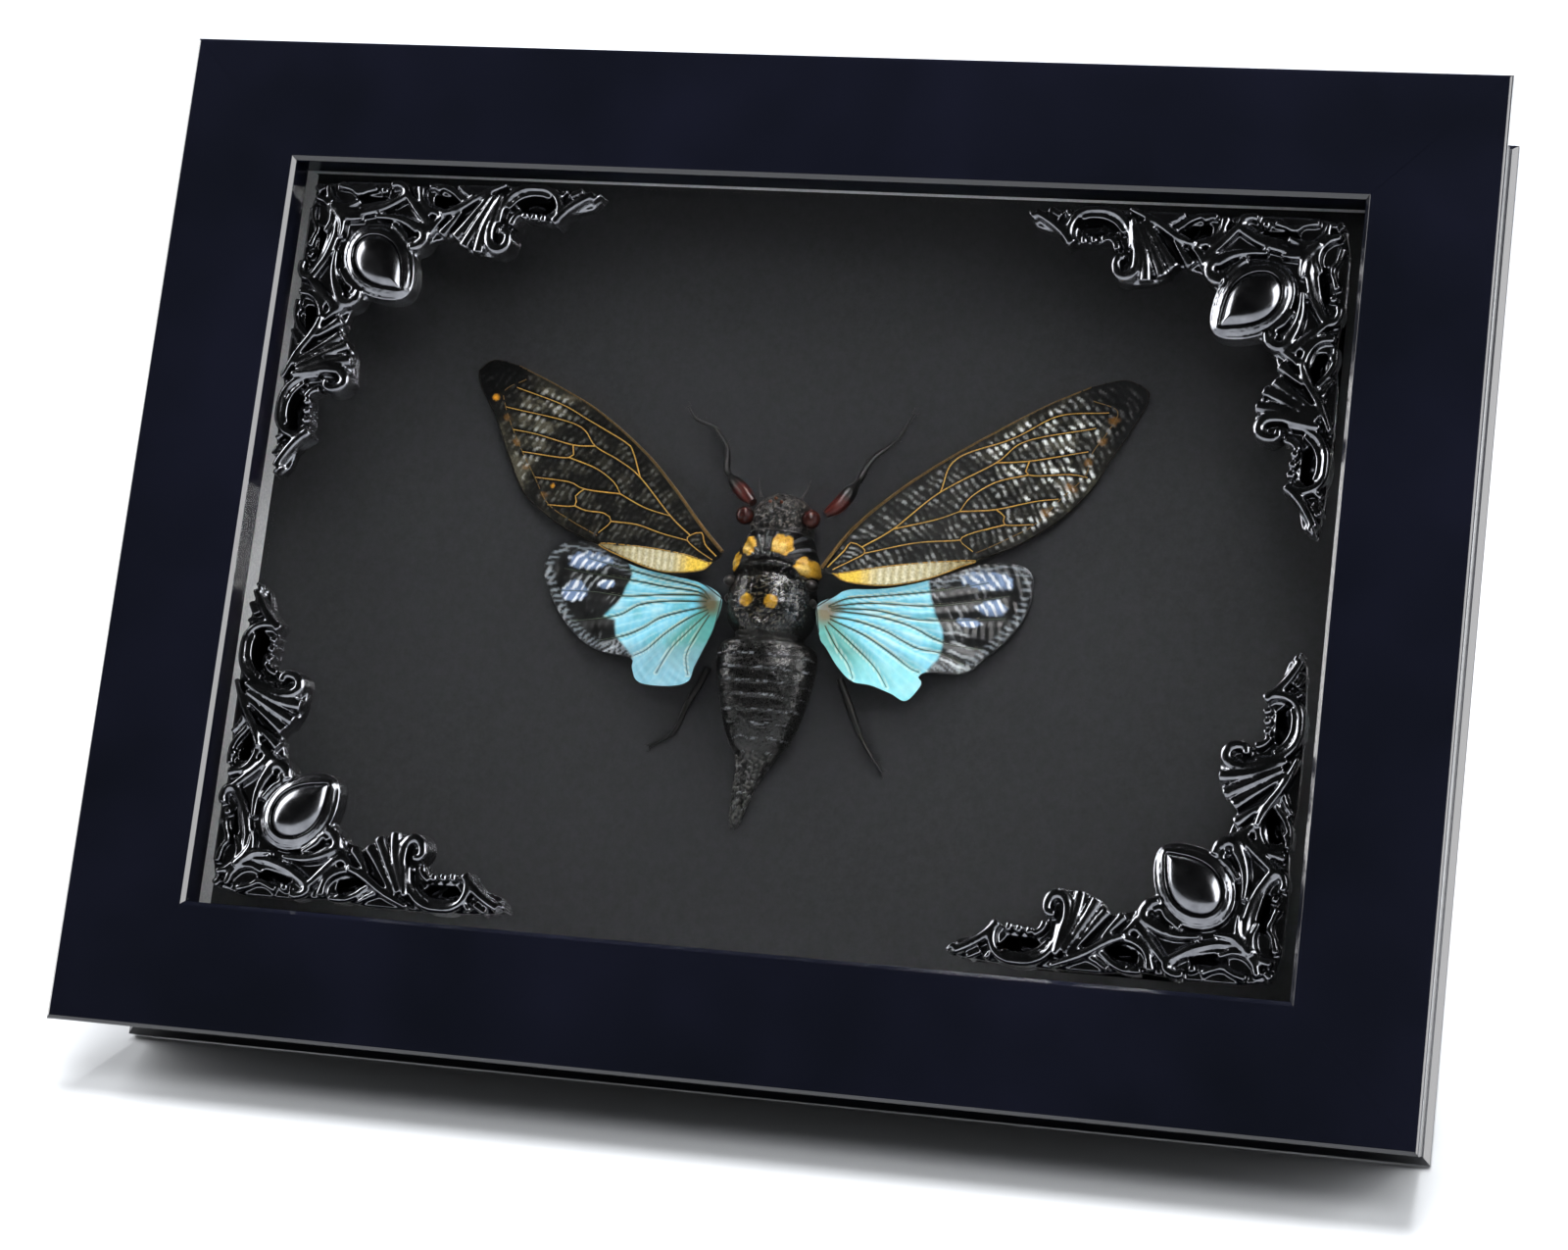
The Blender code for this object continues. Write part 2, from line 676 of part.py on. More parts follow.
def make_wings():
    dark = make_material("smoky_membrane", (0.025, 0.020, 0.014), 0.3)
    blue = make_material("turquoise_membrane", (0.16, 0.58, 0.62), 0.3)
    for side, word in ((-1, "left"), (1, "right")):
        make_wing("forewing_" + word, forewing_outline(), FOREWING_DEPTHS, side, dark)
        make_wing("hindwing_" + word, hindwing_outline(), HINDWING_DEPTHS, side, blue)


def leg_routes():
    """Each leg from the body to its foot: (out, depth, height, radius)."""
    foreleg = [
        (5.6, 14.6, 11.4, 0.5),
        (8.2, 15.4, 14.2, 1.1),
        (11.0, 18.4, 17.4, 0.6),
        (11.8, 18.8, 20.6, 0.5),
        (14.8, 19.4, 24.2, 0.35),
        (18.2, 19.6, 27.8, 0.25),
    ]
    hindleg = [
        (8.8, 17.4, -11.6, 0.6),
        (9.9, 18.2, -14.4, 0.6),
        (13.4, 19.4, -21.0, 0.45),
        (15.0, 19.8, -24.4, 0.35),
        (19.0, 19.9, -28.2, 0.25),
    ]
    return {"foreleg_": foreleg, "hindleg_": hindleg}


def make_legs(shell):
    for side, word in ((-1, "left"), (1, "right")):
        for name, route in leg_routes().items():
            places = [(INSECT_SHIFT + side * out, depth, height) for out, depth, height, radius in route]
            bm = tube(places, [stop[3] for stop in route], 1)
            add_object(name + word, mesh_from(name + word, bm), shell)


bright_steel = make_material("bright_steel", (0.55, 0.55, 0.56), 0.35, 1.0)
black_shell = make_material("black_shell", (0.012, 0.011, 0.010), 0.35)
make_rails()
make_glass()
make_spacers()
make_backing()
make_retainer_points()
make_hinge(bright_steel)
make_strut(bright_steel)
make_corners()
make_body(black_shell)
make_wings()
make_legs(black_shell)
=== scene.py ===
import json
import math
import random

import bmesh
import bpy
import numpy as np
from mathutils import Matrix, Vector, noise
from mathutils.geometry import delaunay_2d_cdt


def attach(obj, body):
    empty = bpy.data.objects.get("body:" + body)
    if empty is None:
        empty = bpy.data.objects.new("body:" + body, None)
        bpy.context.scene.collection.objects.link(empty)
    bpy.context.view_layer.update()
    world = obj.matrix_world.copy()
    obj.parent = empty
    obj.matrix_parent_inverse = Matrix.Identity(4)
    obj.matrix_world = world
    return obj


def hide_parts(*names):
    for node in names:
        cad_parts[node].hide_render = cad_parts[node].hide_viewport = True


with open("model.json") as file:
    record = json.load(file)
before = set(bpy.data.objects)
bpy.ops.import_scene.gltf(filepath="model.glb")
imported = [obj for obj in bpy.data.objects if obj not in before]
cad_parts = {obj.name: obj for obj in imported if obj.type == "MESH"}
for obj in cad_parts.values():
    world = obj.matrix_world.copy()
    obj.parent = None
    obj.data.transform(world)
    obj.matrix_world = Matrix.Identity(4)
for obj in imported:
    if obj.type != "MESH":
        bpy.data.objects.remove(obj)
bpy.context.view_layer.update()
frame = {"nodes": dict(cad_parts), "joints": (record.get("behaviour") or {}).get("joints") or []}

# Everything is drawn in the frame's own axes: x right, y back from the face, z up from the face's middle.
# seatPiece() then leans a finished piece back with the frame, about the strut's hinge.

mm = 0.001
placing = {
    "lean": 25.8,  # degrees from upright
    "hingeDepth": 33.15,  # mm behind the face
    "hingeHeight": 38.0,  # mm above the middle of the face
    "insectShift": -1.8,  # mm, the insect's middle line
}
hingePoint = Vector(frame["joints"][0]["pos_m"])
hingeFlat = Vector((0, placing["hingeDepth"], placing["hingeHeight"])) * mm
leanTurn = Matrix.Rotation(math.radians(-placing["lean"]), 4, "X")
toWorld = Matrix.Translation(hingePoint) @ leanTurn @ Matrix.Translation(-hingeFlat)


def linear(hexColour):
    values = [int(hexColour[i:i + 2], 16) / 255 for i in (1, 3, 5)]
    return [v / 12.92 if v <= 0.04045 else ((v + 0.055) / 1.055) ** 2.4 for v in values] + [1.0]


def addNode(tree, kind, values=None, stops=None, **settings):
    # values: input name or number to a value or to another node's socket; stops: a ramp's (place, colour)
    node = tree.nodes.new("ShaderNode" + kind)
    for key, value in settings.items():
        setattr(node, key, value)
    for key, value in (values or {}).items():
        if isinstance(value, bpy.types.NodeSocket):
            tree.links.new(value, node.inputs[key])
        else:
            node.inputs[key].default_value = value
    if stops:
        ramp = node.color_ramp
        while len(ramp.elements) < len(stops):
            ramp.elements.new(1.0)
        for element, (place, colour) in zip(ramp.elements, stops):
            element.position = place
            element.color = linear(colour) if isinstance(colour, str) else (colour, colour, colour, 1.0)
    return node


def startMaterial(name):
    material = bpy.data.materials.new(name)
    material.use_nodes = True
    tree = material.node_tree
    tree.nodes.clear()
    output = tree.nodes.new("ShaderNodeOutputMaterial")
    shader = tree.nodes.new("ShaderNodeBsdfPrincipled")
    tree.links.new(shader.outputs[0], output.inputs[0])
    return material, tree, shader


def addBump(tree, shader, height, strength, distance):
    bump = addNode(tree, "Bump", {"Height": height, "Strength": strength, "Distance": distance})
    tree.links.new(bump.outputs[0], shader.inputs["Normal"])


def flatNoise(tree, scale, detail):
    # noise laid over the flat place that seatPiece() keeps, so its scale is in waves to the millimetre
    place = addNode(tree, "Attribute", attribute_name="flatPlace")
    field = addNode(tree, "TexNoise", {"Vector": place.outputs["Vector"], "Scale": scale, "Detail": detail})
    return field.outputs[0]


def addGloss(tree, shader, value, low, high):
    # roughness from low to high as the value goes from 0 to 1
    gloss = addNode(tree, "MapRange", {0: value, 3: low, 4: high})
    tree.links.new(gloss.outputs[0], shader.inputs["Roughness"])


def addObject(name, data):
    piece = bpy.data.objects.new(name, data)
    bpy.context.scene.collection.objects.link(piece)
    return piece


def addMesh(name, verts, faces):
    mesh = bpy.data.meshes.new(name)
    mesh.from_pydata(verts, [], faces)
    return addObject(name, mesh)


def ringFaces(rows, count):
    # the quads between rows of rings, each ring with count points
    return [(low + index, low + following, low + count + following, low + count + index)
            for low in range(0, (rows - 1) * count, count)
            for index, following in enumerate([*range(1, count), 0])]


def clearSelection():
    if bpy.context.object and bpy.context.object.mode != "OBJECT":
        bpy.ops.object.mode_set(mode="OBJECT")
    bpy.ops.object.select_all(action="DESELECT")


def pick(*pieces):
    clearSelection()
    for piece in pieces:
        piece.select_set(True)
    bpy.context.view_layer.objects.active = pieces[0]
    return pieces[0]


def seatPiece(piece, body, slotName, *nodes):
    # keeps the flat place in mm as an attribute for the patterns, then leans the mesh back
    pick(piece)
    bpy.ops.object.transform_apply(location=True, rotation=True, scale=True)
    mesh = piece.data
    places = np.zeros(len(mesh.vertices) * 3, np.float32)
    mesh.vertices.foreach_get("co", places)
    spot = mesh.attributes.get("flatPlace") or mesh.attributes.new("flatPlace", "FLOAT_VECTOR", "POINT")
    spot.data.foreach_set("vector", places / mm)
    mesh.transform(toWorld)
    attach(piece, body)
    if nodes:
        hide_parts(*nodes)


def applyModifier(piece, kind, **settings):
    pick(piece)
    modifier = piece.modifiers.new(kind.lower(), kind)
    for key, value in settings.items():
        setattr(modifier, key, value)
    bpy.ops.object.modifier_apply(modifier=modifier.name)


def smoothShade(piece, angle):
    pick(piece)
    bpy.ops.object.shade_smooth_by_angle(angle=math.radians(angle))


def outlineFace(name, points):
    # one flat face through points (x, y, z) in metres
    clearSelection()
    bpy.ops.mesh.primitive_circle_add(vertices=len(points), radius=1, fill_type="NGON", location=(0, 0, 0))
    piece = bpy.context.object
    piece.name = name
    for vertex, point in zip(piece.data.vertices, points):
        vertex.co = point
    return piece


def faceOutward(piece):
    pick(piece)
    bpy.ops.object.mode_set(mode="EDIT")
    bpy.ops.mesh.select_all(action="SELECT")
    bpy.ops.mesh.normals_make_consistent(inside=False)
    bpy.ops.object.mode_set(mode="OBJECT")


def extrudeBy(piece, move):
    pick(piece)
    bpy.ops.object.mode_set(mode="EDIT")
    bpy.ops.mesh.select_all(action="SELECT")
    bpy.ops.mesh.extrude_region_move(TRANSFORM_OT_translate={"value": move})
    bpy.ops.object.mode_set(mode="OBJECT")
    faceOutward(piece)


def cutPiece(piece, point, normal):
    # takes off what lies on the normal's side and closes the cut
    pick(piece)
    bpy.ops.object.mode_set(mode="EDIT")
    bpy.ops.mesh.select_all(action="SELECT")
    bpy.ops.mesh.bisect(plane_co=point, plane_no=normal, use_fill=True, clear_outer=True)
    bpy.ops.object.mode_set(mode="OBJECT")


def tubeCurve(name, resolution):
    # a curve whose points carry their tube's radius in mm
    clearSelection()
    data = bpy.data.curves.new(name, "CURVE")
    data.dimensions = "3D"
    data.bevel_depth = mm
    data.bevel_resolution = resolution
    data.use_fill_caps = True
    return data


def curveToMesh(name, data):
    pick(addObject(name, data))
    bpy.ops.object.convert(target="MESH")
    return bpy.context.object


def roundCorners(points, steps=5):
    # points are (a, b, radius); each corner with a radius becomes an arc
    rounded = []
    for index, (a, b, radius) in enumerate(points):
        here = Vector((a, b))
        if not radius:
            rounded.append(here)
            continue
        before = (Vector(points[index - 1][:2]) - here).normalized()
        after = (Vector(points[(index + 1) % len(points)][:2]) - here).normalized()
        half = before.angle(after) / 2
        centre = here + (before + after).normalized() * radius / math.sin(half)
        start = here + before * radius / math.tan(half) - centre
        end = here + after * radius / math.tan(half) - centre
        for step in range(steps + 1):
            swing = start.lerp(end, step / steps)
            rounded.append(centre + swing.normalized() * radius)
    return rounded


# Camera: a 90 mm lens at the height and angle that the photograph's perspective gives

cameraSettings = {"lens": 90, "offset": (162.17, -557.97, 132.44), "pitch": 13.85, "turn": 15.90}


def placeCamera():
    data = bpy.data.cameras.new("camera")
    data.sensor_width = 36
    data.lens = cameraSettings["lens"]
    camera = addObject("camera", data)
    camera.location = toWorld @ Vector((0, 0, 0)) + Vector(cameraSettings["offset"]) * mm
    tilt = 90 - cameraSettings["pitch"]
    camera.rotation_euler = (math.radians(tilt), 0, math.radians(cameraSettings["turn"]))
    bpy.context.scene.camera = camera


placeCamera()
print("camera placed")


# Studio: a pale sweep with its own light, a large soft box on each side, one overhead and one in front

studio = {
    "sweepWidth": 6.0,
    "sweepDepth": 1.1,
    "sweepFront": -3.0,
    "sweepHeight": 0.75,
    "sweepBend": 0.5,
    "paper": "#A3A5A8",
    "aim": (0, 0, 0.08),  # the middle of the frame, where a light looks that has no aim of its own
    "boxes": {
        "leftBox": {"at": (-0.82, 0.06, 0.36), "size": (0.75, 0.80), "power": 19},
        "rightBox": {"at": (0.85, -0.14, 0.36), "size": (0.70, 0.80), "power": 15},
        "topBox": {"at": (0.04, 0.01, 1.15), "size": (1.0, 0.38), "power": 48},
        "frontBox": {"at": (0.45, -1.02, 1.10), "size": (0.60, 0.50), "power": 20},
        "backLight": {"at": (0.0, 0.30, 0.9), "aim": (0.0, 1.6, 0.5), "size": (3.2, 0.6), "power": 62},
    },
    "air": 0.02,
}


def makeSweep():
    # background paper: matt light grey, a hair cool, that the lights bring up to white
    clearSelection()
    bpy.ops.mesh.primitive_plane_add(size=1, location=(0, 0, 0))
    sweep = bpy.context.object
    sweep.name = "paperSweep"
    for vertex in sweep.data.vertices:
        side = 1 if vertex.co.x > 0 else -1
        depth = studio["sweepDepth" if vertex.co.y > 0 else "sweepFront"]
        vertex.co = (side * studio["sweepWidth"] / 2, depth, 0)
    bpy.ops.object.mode_set(mode="EDIT")
    edit = bmesh.from_edit_mesh(sweep.data)
    for edge in edit.edges:
        edge.select = all(vertex.co.y > 0 for vertex in edge.verts)
    edit.select_flush_mode()
    bmesh.update_edit_mesh(sweep.data)
    bpy.ops.mesh.extrude_region_move(TRANSFORM_OT_translate={"value": (0, 0, studio["sweepHeight"])})
    edit = bmesh.from_edit_mesh(sweep.data)
    for edge in edit.edges:
        edge.select = len(edge.link_faces) == 2
    edit.select_flush_mode()
    bmesh.update_edit_mesh(sweep.data)
    bpy.ops.mesh.bevel(offset=studio["sweepBend"], segments=16, affect="EDGES")
    bpy.ops.object.mode_set(mode="OBJECT")
    smoothShade(sweep, 60)
    material, _, shader = startMaterial("mattBackdropPaper")
    shader.inputs["Base Color"].default_value = linear(studio["paper"])
    shader.inputs["Roughness"].default_value = 0.9
    sweep.data.materials.append(material)


def addBox(name, settings):
    light = bpy.data.lights.new(name, "AREA")
    light.shape = "RECTANGLE"
    light.size, light.size_y = settings["size"]
    light.energy = settings["power"]
    lamp = addObject(name, light)
    lamp.location = settings["at"]
    aim = Vector(settings.get("aim", studio["aim"]))
    lamp.rotation_euler = (aim - lamp.location).to_track_quat("-Z", "Y").to_euler()


def makeStudio():
    makeSweep()
    for name, settings in studio["boxes"].items():
        addBox(name, settings)
    for name in ("frontBox", "topBox"):  # these two only fill and are kept out of reflections
        bpy.data.objects[name].visible_glossy = False
    world = bpy.data.worlds.new("studioAir")
    world.use_nodes = True
    air = world.node_tree.nodes["Background"]
    air.inputs[0].default_value = (1, 1, 1, 1)
    air.inputs[1].default_value = studio["air"]
    bpy.context.scene.world = world
    bpy.context.scene.view_settings.view_transform = "Standard"


makeStudio()
print("studio ready")


# Moulding: four mitred lengths with a soft outer arris, a chamfered lip and a small flare at the back

moulding = {
    "length": 212.3,
    "height": 161.0,
    "face": 20.2,
    "depth": 31.5,
    "lip": 6.0,
    "rebate": 5.9,
    "mitreGap": 0.05,
    "softened": 0.14,  # mm taken off the sharp edges
}


def mouldingSection():
    m = moulding
    inner = m["face"] - m["rebate"]
    # (in from the outer edge, back from the face, rounding)
    return roundCorners([
        (0, 0, 0.7),
        (m["face"] - 0.65, 0, 0.12),
        (m["face"], 0.65, 0.12),
        (m["face"], m["lip"], 0.25),
        (inner, m["lip"], 0),
        (inner, m["depth"], 0.3),
        (1.1, m["depth"], 0.3),
        (1.1, 29.3, 0.3),
        (2.3, 28.0, 0.8),
    ])


def lacquerOnWood():
    # sprayed lacquer over wood: near black with a cold tint, glossy enough to mirror the soft boxes
    material, tree, shader = startMaterial("satinBlackLacquer")
    mottle = flatNoise(tree, 0.03, 3.0)
    tint = addNode(tree, "ValToRGB", {0: mottle}, [(0.35, "#05060B"), (0.65, "#080911")])
    dust = addNode(tree, "ValToRGB", {0: flatNoise(tree, 2.2, 2.0)}, [(0.72, 0.0), (0.80, 0.05)])
    mixed = addNode(tree, "Mix", {0: dust.outputs[0], 6: tint.outputs[0], 7: linear("#6A6E78")},
                    data_type="RGBA")
    tree.links.new(mixed.outputs[2], shader.inputs["Base Color"])
    addGloss(tree, shader, mottle, 0.09, 0.13)
    shader.inputs["IOR"].default_value = 1.55
    # orange peel of the sprayed coat, about 1.2 mm across
    addBump(tree, shader, flatNoise(tree, 0.8, 1.0), 0.04, 0.0004)
    return material


def makeRail(name, length, across, angle, material):
    section = [Vector((-length / 2, back, across / 2 - inward)) * mm for inward, back in mouldingSection()]
    rail = outlineFace(name, section)
    extrudeBy(rail, (length * mm, 0, 0))
    for side in (-1, 1):
        corner = Vector((side * (length - moulding["mitreGap"]) / 2, 0, across / 2)) * mm
        cutPiece(rail, corner, (side, 0, -1))
    applyModifier(rail, "BEVEL", width=moulding["softened"] * mm, segments=2, limit_method="ANGLE",
                  angle_limit=math.radians(50))
    rail.rotation_euler = (0, angle, 0)
    rail.data.materials.append(material)
    smoothShade(rail, 25)
    applyModifier(rail, "WEIGHTED_NORMAL", keep_sharp=True, weight=90)
    seatPiece(rail, "frame", "black_moulding", name)
    rail.name = "moulding_" + name.split("_")[1]


def makeMoulding():
    lacquer = lacquerOnWood()
    sides = moulding["length"], moulding["height"]
    for name, turns in (("rail_top", 0), ("rail_right", 1), ("rail_bottom", 2), ("rail_left", -1)):
        makeRail(name, sides[turns % 2], sides[1 - turns % 2], turns * math.pi / 2, lacquer)


makeMoulding()
print("moulding done")


# Sheets behind the lip keep their CAD shape and get their finishes here

# Start of the node's name: material, its two tones, grain in mm, roughness, relief in mm
boards = {
    "backing_card": ("blackMountCard", ("#151618", "#222326"), 1.1, 0.92, 0.06),
    "foam_board": ("foamCoreBoard", ("#D9D8D2", "#E6E5E0"), 2.0, 0.8, 0.05),
    "back_panel": ("pressedHardboard", ("#34230F", "#463118"), 0.8, 0.6, 0.1),
    "strut": ("blackPaperedHardboard", ("#0A0B0D", "#111216"), 0.7, 0.6, 0.08),
    "spacer": ("silverGreyBoardEdge", ("#CFD2D5", "#FFFFFF"), 0.45, 0.55, 0.12),
}
# Start of the node's name: material, its tone, roughness
steels = {
    "hinge": ("brightRolledSteel", "#9A9B9E", 0.32),
    "retainer_point": ("bluedSpringSteel", "#5B5E66", 0.36),
}


def sheetPlace(tree):
    # a CAD node's Object coordinates, turned upright again and in millimetres
    place = addNode(tree, "TexCoord")
    upright = addNode(tree, "Mapping", {
        0: place.outputs["Object"],
        "Rotation": (math.radians(placing["lean"]), 0, 0),
        "Scale": (1000, 1000, 1000),
    })
    return upright.outputs[0]


def boardMaterial(name, colours, grain, roughness, relief):
    # card, foam or pressed board: a dull face with fine flecks in two close tones
    material, tree, shader = startMaterial(name)
    place = sheetPlace(tree)
    flecks = addNode(tree, "TexNoise", {"Vector": place, "Scale": 1 / grain, "Detail": 5.0, "Roughness": 0.7})
    tone = addNode(tree, "ValToRGB", {0: flecks.outputs[0]}, [(0.3, colours[0]), (0.7, colours[1])])
    tree.links.new(tone.outputs[0], shader.inputs["Base Color"])
    shader.inputs["Roughness"].default_value = roughness
    addBump(tree, shader, flecks.outputs[0], 0.4, relief * mm)
    return material


def steelMaterial(name, colour, roughness):
    # rolled strip: fine lines along its length break the highlight
    material, tree, shader = startMaterial(name)
    place = sheetPlace(tree)
    stretched = addNode(tree, "Mapping", {0: place, "Scale": (6.0, 1.0, 0.4)})
    lines = addNode(tree, "TexNoise", {"Vector": stretched.outputs[0], "Scale": 1.0, "Detail": 3.0})
    shader.inputs["Base Color"].default_value = linear(colour)
    shader.inputs["Metallic"].default_value = 1.0
    addGloss(tree, shader, lines.outputs[0], roughness - 0.06, roughness + 0.08)
    addBump(tree, shader, lines.outputs[0], 0.15, 0.0001)
    return material


def paneGlass():
    # float glass: quite clear, so it shows only where it bends or mirrors what is around it
    material, _, shader = startMaterial("clearFloatGlass")
    shader.inputs["Base Color"].default_value = (1, 1, 1, 1)
    shader.inputs["Roughness"].default_value = 0.0
    shader.inputs["IOR"].default_value = 1.5
    shader.inputs["Transmission Weight"].default_value = 1.0
    return material


def finishSheets():
    finishes = {start: boardMaterial(*settings) for start, settings in boards.items()}
    finishes.update({start: steelMaterial(*settings) for start, settings in steels.items()})
    finishes["glass_pane"] = paneGlass()
    for name, node in frame["nodes"].items():
        for start, material in finishes.items():
            if name.startswith(start):
                node.data.materials.clear()
                node.data.materials.append(material)


finishSheets()
print("sheets finished")


# Corner castings: tapered scrolls and lobes over a pierced plate, fused, then the polished drop set on top

casting = {
    "reach": (84.25, 58.6),  # mm from the middle of the face to the casting's outer corner
    "back": 6.0,
    "plate": 2.2,
    "voxel": 0.22,
    "smoothing": 3,  # passes over the fused skin
    "kept": 0.5,  # share of the skin's triangles
    "sinking": 0.9,  # mm between the copies of a stroke, one behind the other
    "swell": 1.36,  # how much fuller the cast strokes are than their measured ridges
    "stone": {"place": 14.6, "length": 11.6, "width": 8.2, "pinch": 0.75, "rise": 5.3},
    "rims": [(1.4, 3.5, 0.38), (0.7, 3.9, 0.27), (0.1, 4.2, 0.25)],  # out from the stone, height, radius
}

# One arm's outer edge from the tip of the drop's rim round to the outer corner, (along, inward) in mm
plateEdge = [
    (18.9, 18.9), (19.8, 15.6), (19.8, 12.6), (22.6, 9.9), (26.0, 9.0), (27.6, 11.0), (29.8, 12.0),
    (32.9, 12.2), (34.8, 10.4), (35.2, 7.5), (36.4, 5.9), (41.6, 6.1), (43.6, 5.4), (45.8, 4.4),
    (48.4, 3.6), (49.6, 2.4), (48.4, 1.0), (42.6, 0.5), (36.0, 0.3), (27.0, 0.3), (21.0, 1.0),
    (14.0, 0.4), (6.0, 0.4), (1.4, 1.4),
]
plateHoles = [
    [(7.4, 2.8), (11.0, 3.0), (14.4, 3.0), (15.4, 2.6), (13.6, 4.4), (9.4, 4.8)],
    [(21.4, 2.2), (24.4, 2.6), (26.6, 4.0), (24.2, 4.6), (21.6, 3.8)],
    [(35.4, 3.0), (37.6, 1.4), (41.0, 1.4), (42.2, 3.2), (41.0, 4.6), (36.6, 4.4)],
]

# Strokes of the long arm: crest height, then (along, inward, radius) in mm
scrolls = [
    (3.9, [(5.2, 5.7, 0.25), (8.5, 6.1, 0.5), (12.0, 5.5, 0.6), (15.1, 4.1, 0.6), (17.1, 2.1, 0.55),
           (15.5, 0.9, 0.5), (14.4, 1.2, 0.5)]),
    (3.5, [(7.5, 5.1, 0.25), (11.9, 4.5, 0.35), (15.4, 3.2, 0.35), (16.4, 2.2, 0.25)]),
    (4.3, [(7.1, 10.4, 0.2), (7.0, 7.8, 0.45), (5.9, 6.0, 0.55), (4.6, 4.9, 0.3)]),
    (3.9, [(3.6, 1.7, 0.4), (4.4, 3.8, 0.55), (6.9, 5.0, 0.45), (9.5, 4.1, 0.25)]),
    (3.4, [(5.3, 1.3, 0.55), (7.7, 2.0, 0.35), (8.7, 2.6, 0.45), (10.2, 2.2, 0.35), (11.8, 1.6, 0.5)]),
    (3.5, [(13.1, 1.7, 0.6), (13.4, 2.6, 0.45)]),
    (3.6, [(1.7, 1.6, 0.6), (2.5, 2.6, 0.45)]),
    (4.2, [(12.5, 6.7, 0.25), (16.1, 6.7, 0.5), (19.4, 7.8, 0.65), (21.1, 9.1, 0.75), (20.4, 10.9, 0.75),
           (18.9, 11.6, 0.4)]),
    (3.9, [(15.5, 7.7, 0.25), (17.5, 9.2, 0.45), (18.7, 10.5, 0.4), (19.6, 9.9, 0.3)]),
    (4.0, [(13.6, 6.4, 0.2), (17.4, 7.3, 0.4), (19.9, 8.7, 0.4)]),
    (4.0, [(21.9, 7.4, 0.6), (20.6, 6.4, 0.55), (19.0, 4.6, 0.6), (17.2, 2.6, 0.45)]),
    (3.7, [(21.4, 6.0, 0.3), (20.0, 4.0, 0.35), (19.2, 1.3, 0.55)]),
    (3.8, [(19.6, 1.3, 0.35), (19.8, 3.3, 0.45), (21.4, 5.0, 0.5), (24.0, 5.5, 0.45), (26.5, 4.5, 0.25)]),
    (3.3, [(20.7, 1.1, 0.45), (22.9, 1.0, 0.4), (24.8, 1.7, 0.45), (26.8, 3.2, 0.4), (28.6, 3.6, 0.25)]),
    (3.4, [(22.2, 1.2, 0.55), (22.9, 1.6, 0.45)]),
    (3.4, [(25.7, 0.8, 0.3), (27.7, 2.1, 0.4), (30.2, 2.6, 0.25)]),
    (4.3, [(23.6, 5.8, 0.35), (25.8, 5.0, 0.55), (30.0, 2.4, 0.5), (34.0, 0.6, 0.3)]),
    (3.8, [(21.6, 8.7, 0.75), (23.1, 6.8, 0.5), (24.6, 5.5, 0.3)]),
    (3.9, [(23.9, 9.0, 0.75), (25.2, 7.4, 0.55), (26.8, 5.2, 0.3)]),
    (4.1, [(26.4, 9.5, 0.75), (27.8, 7.6, 0.6), (29.8, 4.6, 0.35), (31.4, 2.3, 0.25)]),
    (4.3, [(28.0, 11.0, 0.8), (29.0, 8.9, 0.65), (30.7, 5.5, 0.45), (32.2, 2.6, 0.25)]),
    (4.4, [(30.6, 11.9, 0.8), (30.9, 8.9, 0.6), (32.0, 5.5, 0.45), (33.4, 2.1, 0.25)]),
    (4.5, [(33.4, 2.4, 0.3), (32.7, 5.9, 0.5), (32.2, 8.6, 0.6), (32.8, 10.8, 0.7), (34.3, 11.2, 0.7),
           (35.3, 9.9, 0.6), (35.0, 8.4, 0.5), (34.0, 8.3, 0.4)]),
    (4.1, [(33.4, 6.9, 0.3), (33.8, 3.9, 0.45), (35.8, 1.5, 0.5), (39.4, 0.8, 0.5), (41.7, 1.4, 0.5),
           (43.0, 3.1, 0.5), (43.2, 4.9, 0.55), (42.8, 6.4, 0.6)]),
    (3.8, [(34.6, 4.4, 0.25), (36.6, 2.5, 0.3), (39.6, 1.9, 0.3), (41.4, 2.4, 0.25)]),
    (4.0, [(35.4, 7.1, 0.5), (35.9, 5.9, 0.42), (37.0, 5.0, 0.35)]),
    (4.1, [(37.4, 5.9, 0.48), (37.9, 5.0, 0.36)]),
    (4.1, [(39.0, 6.1, 0.5), (39.4, 5.1, 0.36)]),
    (4.1, [(40.6, 6.3, 0.5), (40.9, 5.2, 0.36)]),
    (4.2, [(42.4, 6.4, 0.6), (44.3, 4.3, 0.6), (46.7, 2.6, 0.55), (48.6, 1.6, 0.5)]),
    (4.2, [(49.2, 2.3, 0.75), (48.8, 1.9, 0.7)]),
    (3.7, [(44.6, 2.0, 0.45), (46.6, 0.9, 0.4)]),
    (3.6, [(42.8, 2.4, 0.35), (43.9, 0.9, 0.35)]),
]


def onCasting(along, inward, height):
    return Vector((along, casting["back"] - height, -inward)) * mm


def scrollTubes(strokes):
    # every stroke is a tapered tube; copies sunk behind it give the casting its upright walls
    data = tubeCurve("scrolls", 2)
    data.resolution_u = 4
    for crest, stops in strokes:
        sunk = 0.0
        while crest - sunk > 0.4:
            spline = data.splines.new("BEZIER")
            spline.bezier_points.add(len(stops) - 1)
            for point, (along, inward, radius) in zip(spline.bezier_points, stops):
                full = radius * casting["swell"]
                point.co = onCasting(along, inward, max(crest - full - sunk, 0.1))
                point.radius = full + sunk * 0.06
                point.handle_left_type = point.handle_right_type = "AUTO"
            sunk += casting["sinking"]
    return curveToMesh("scrollTubes", data)


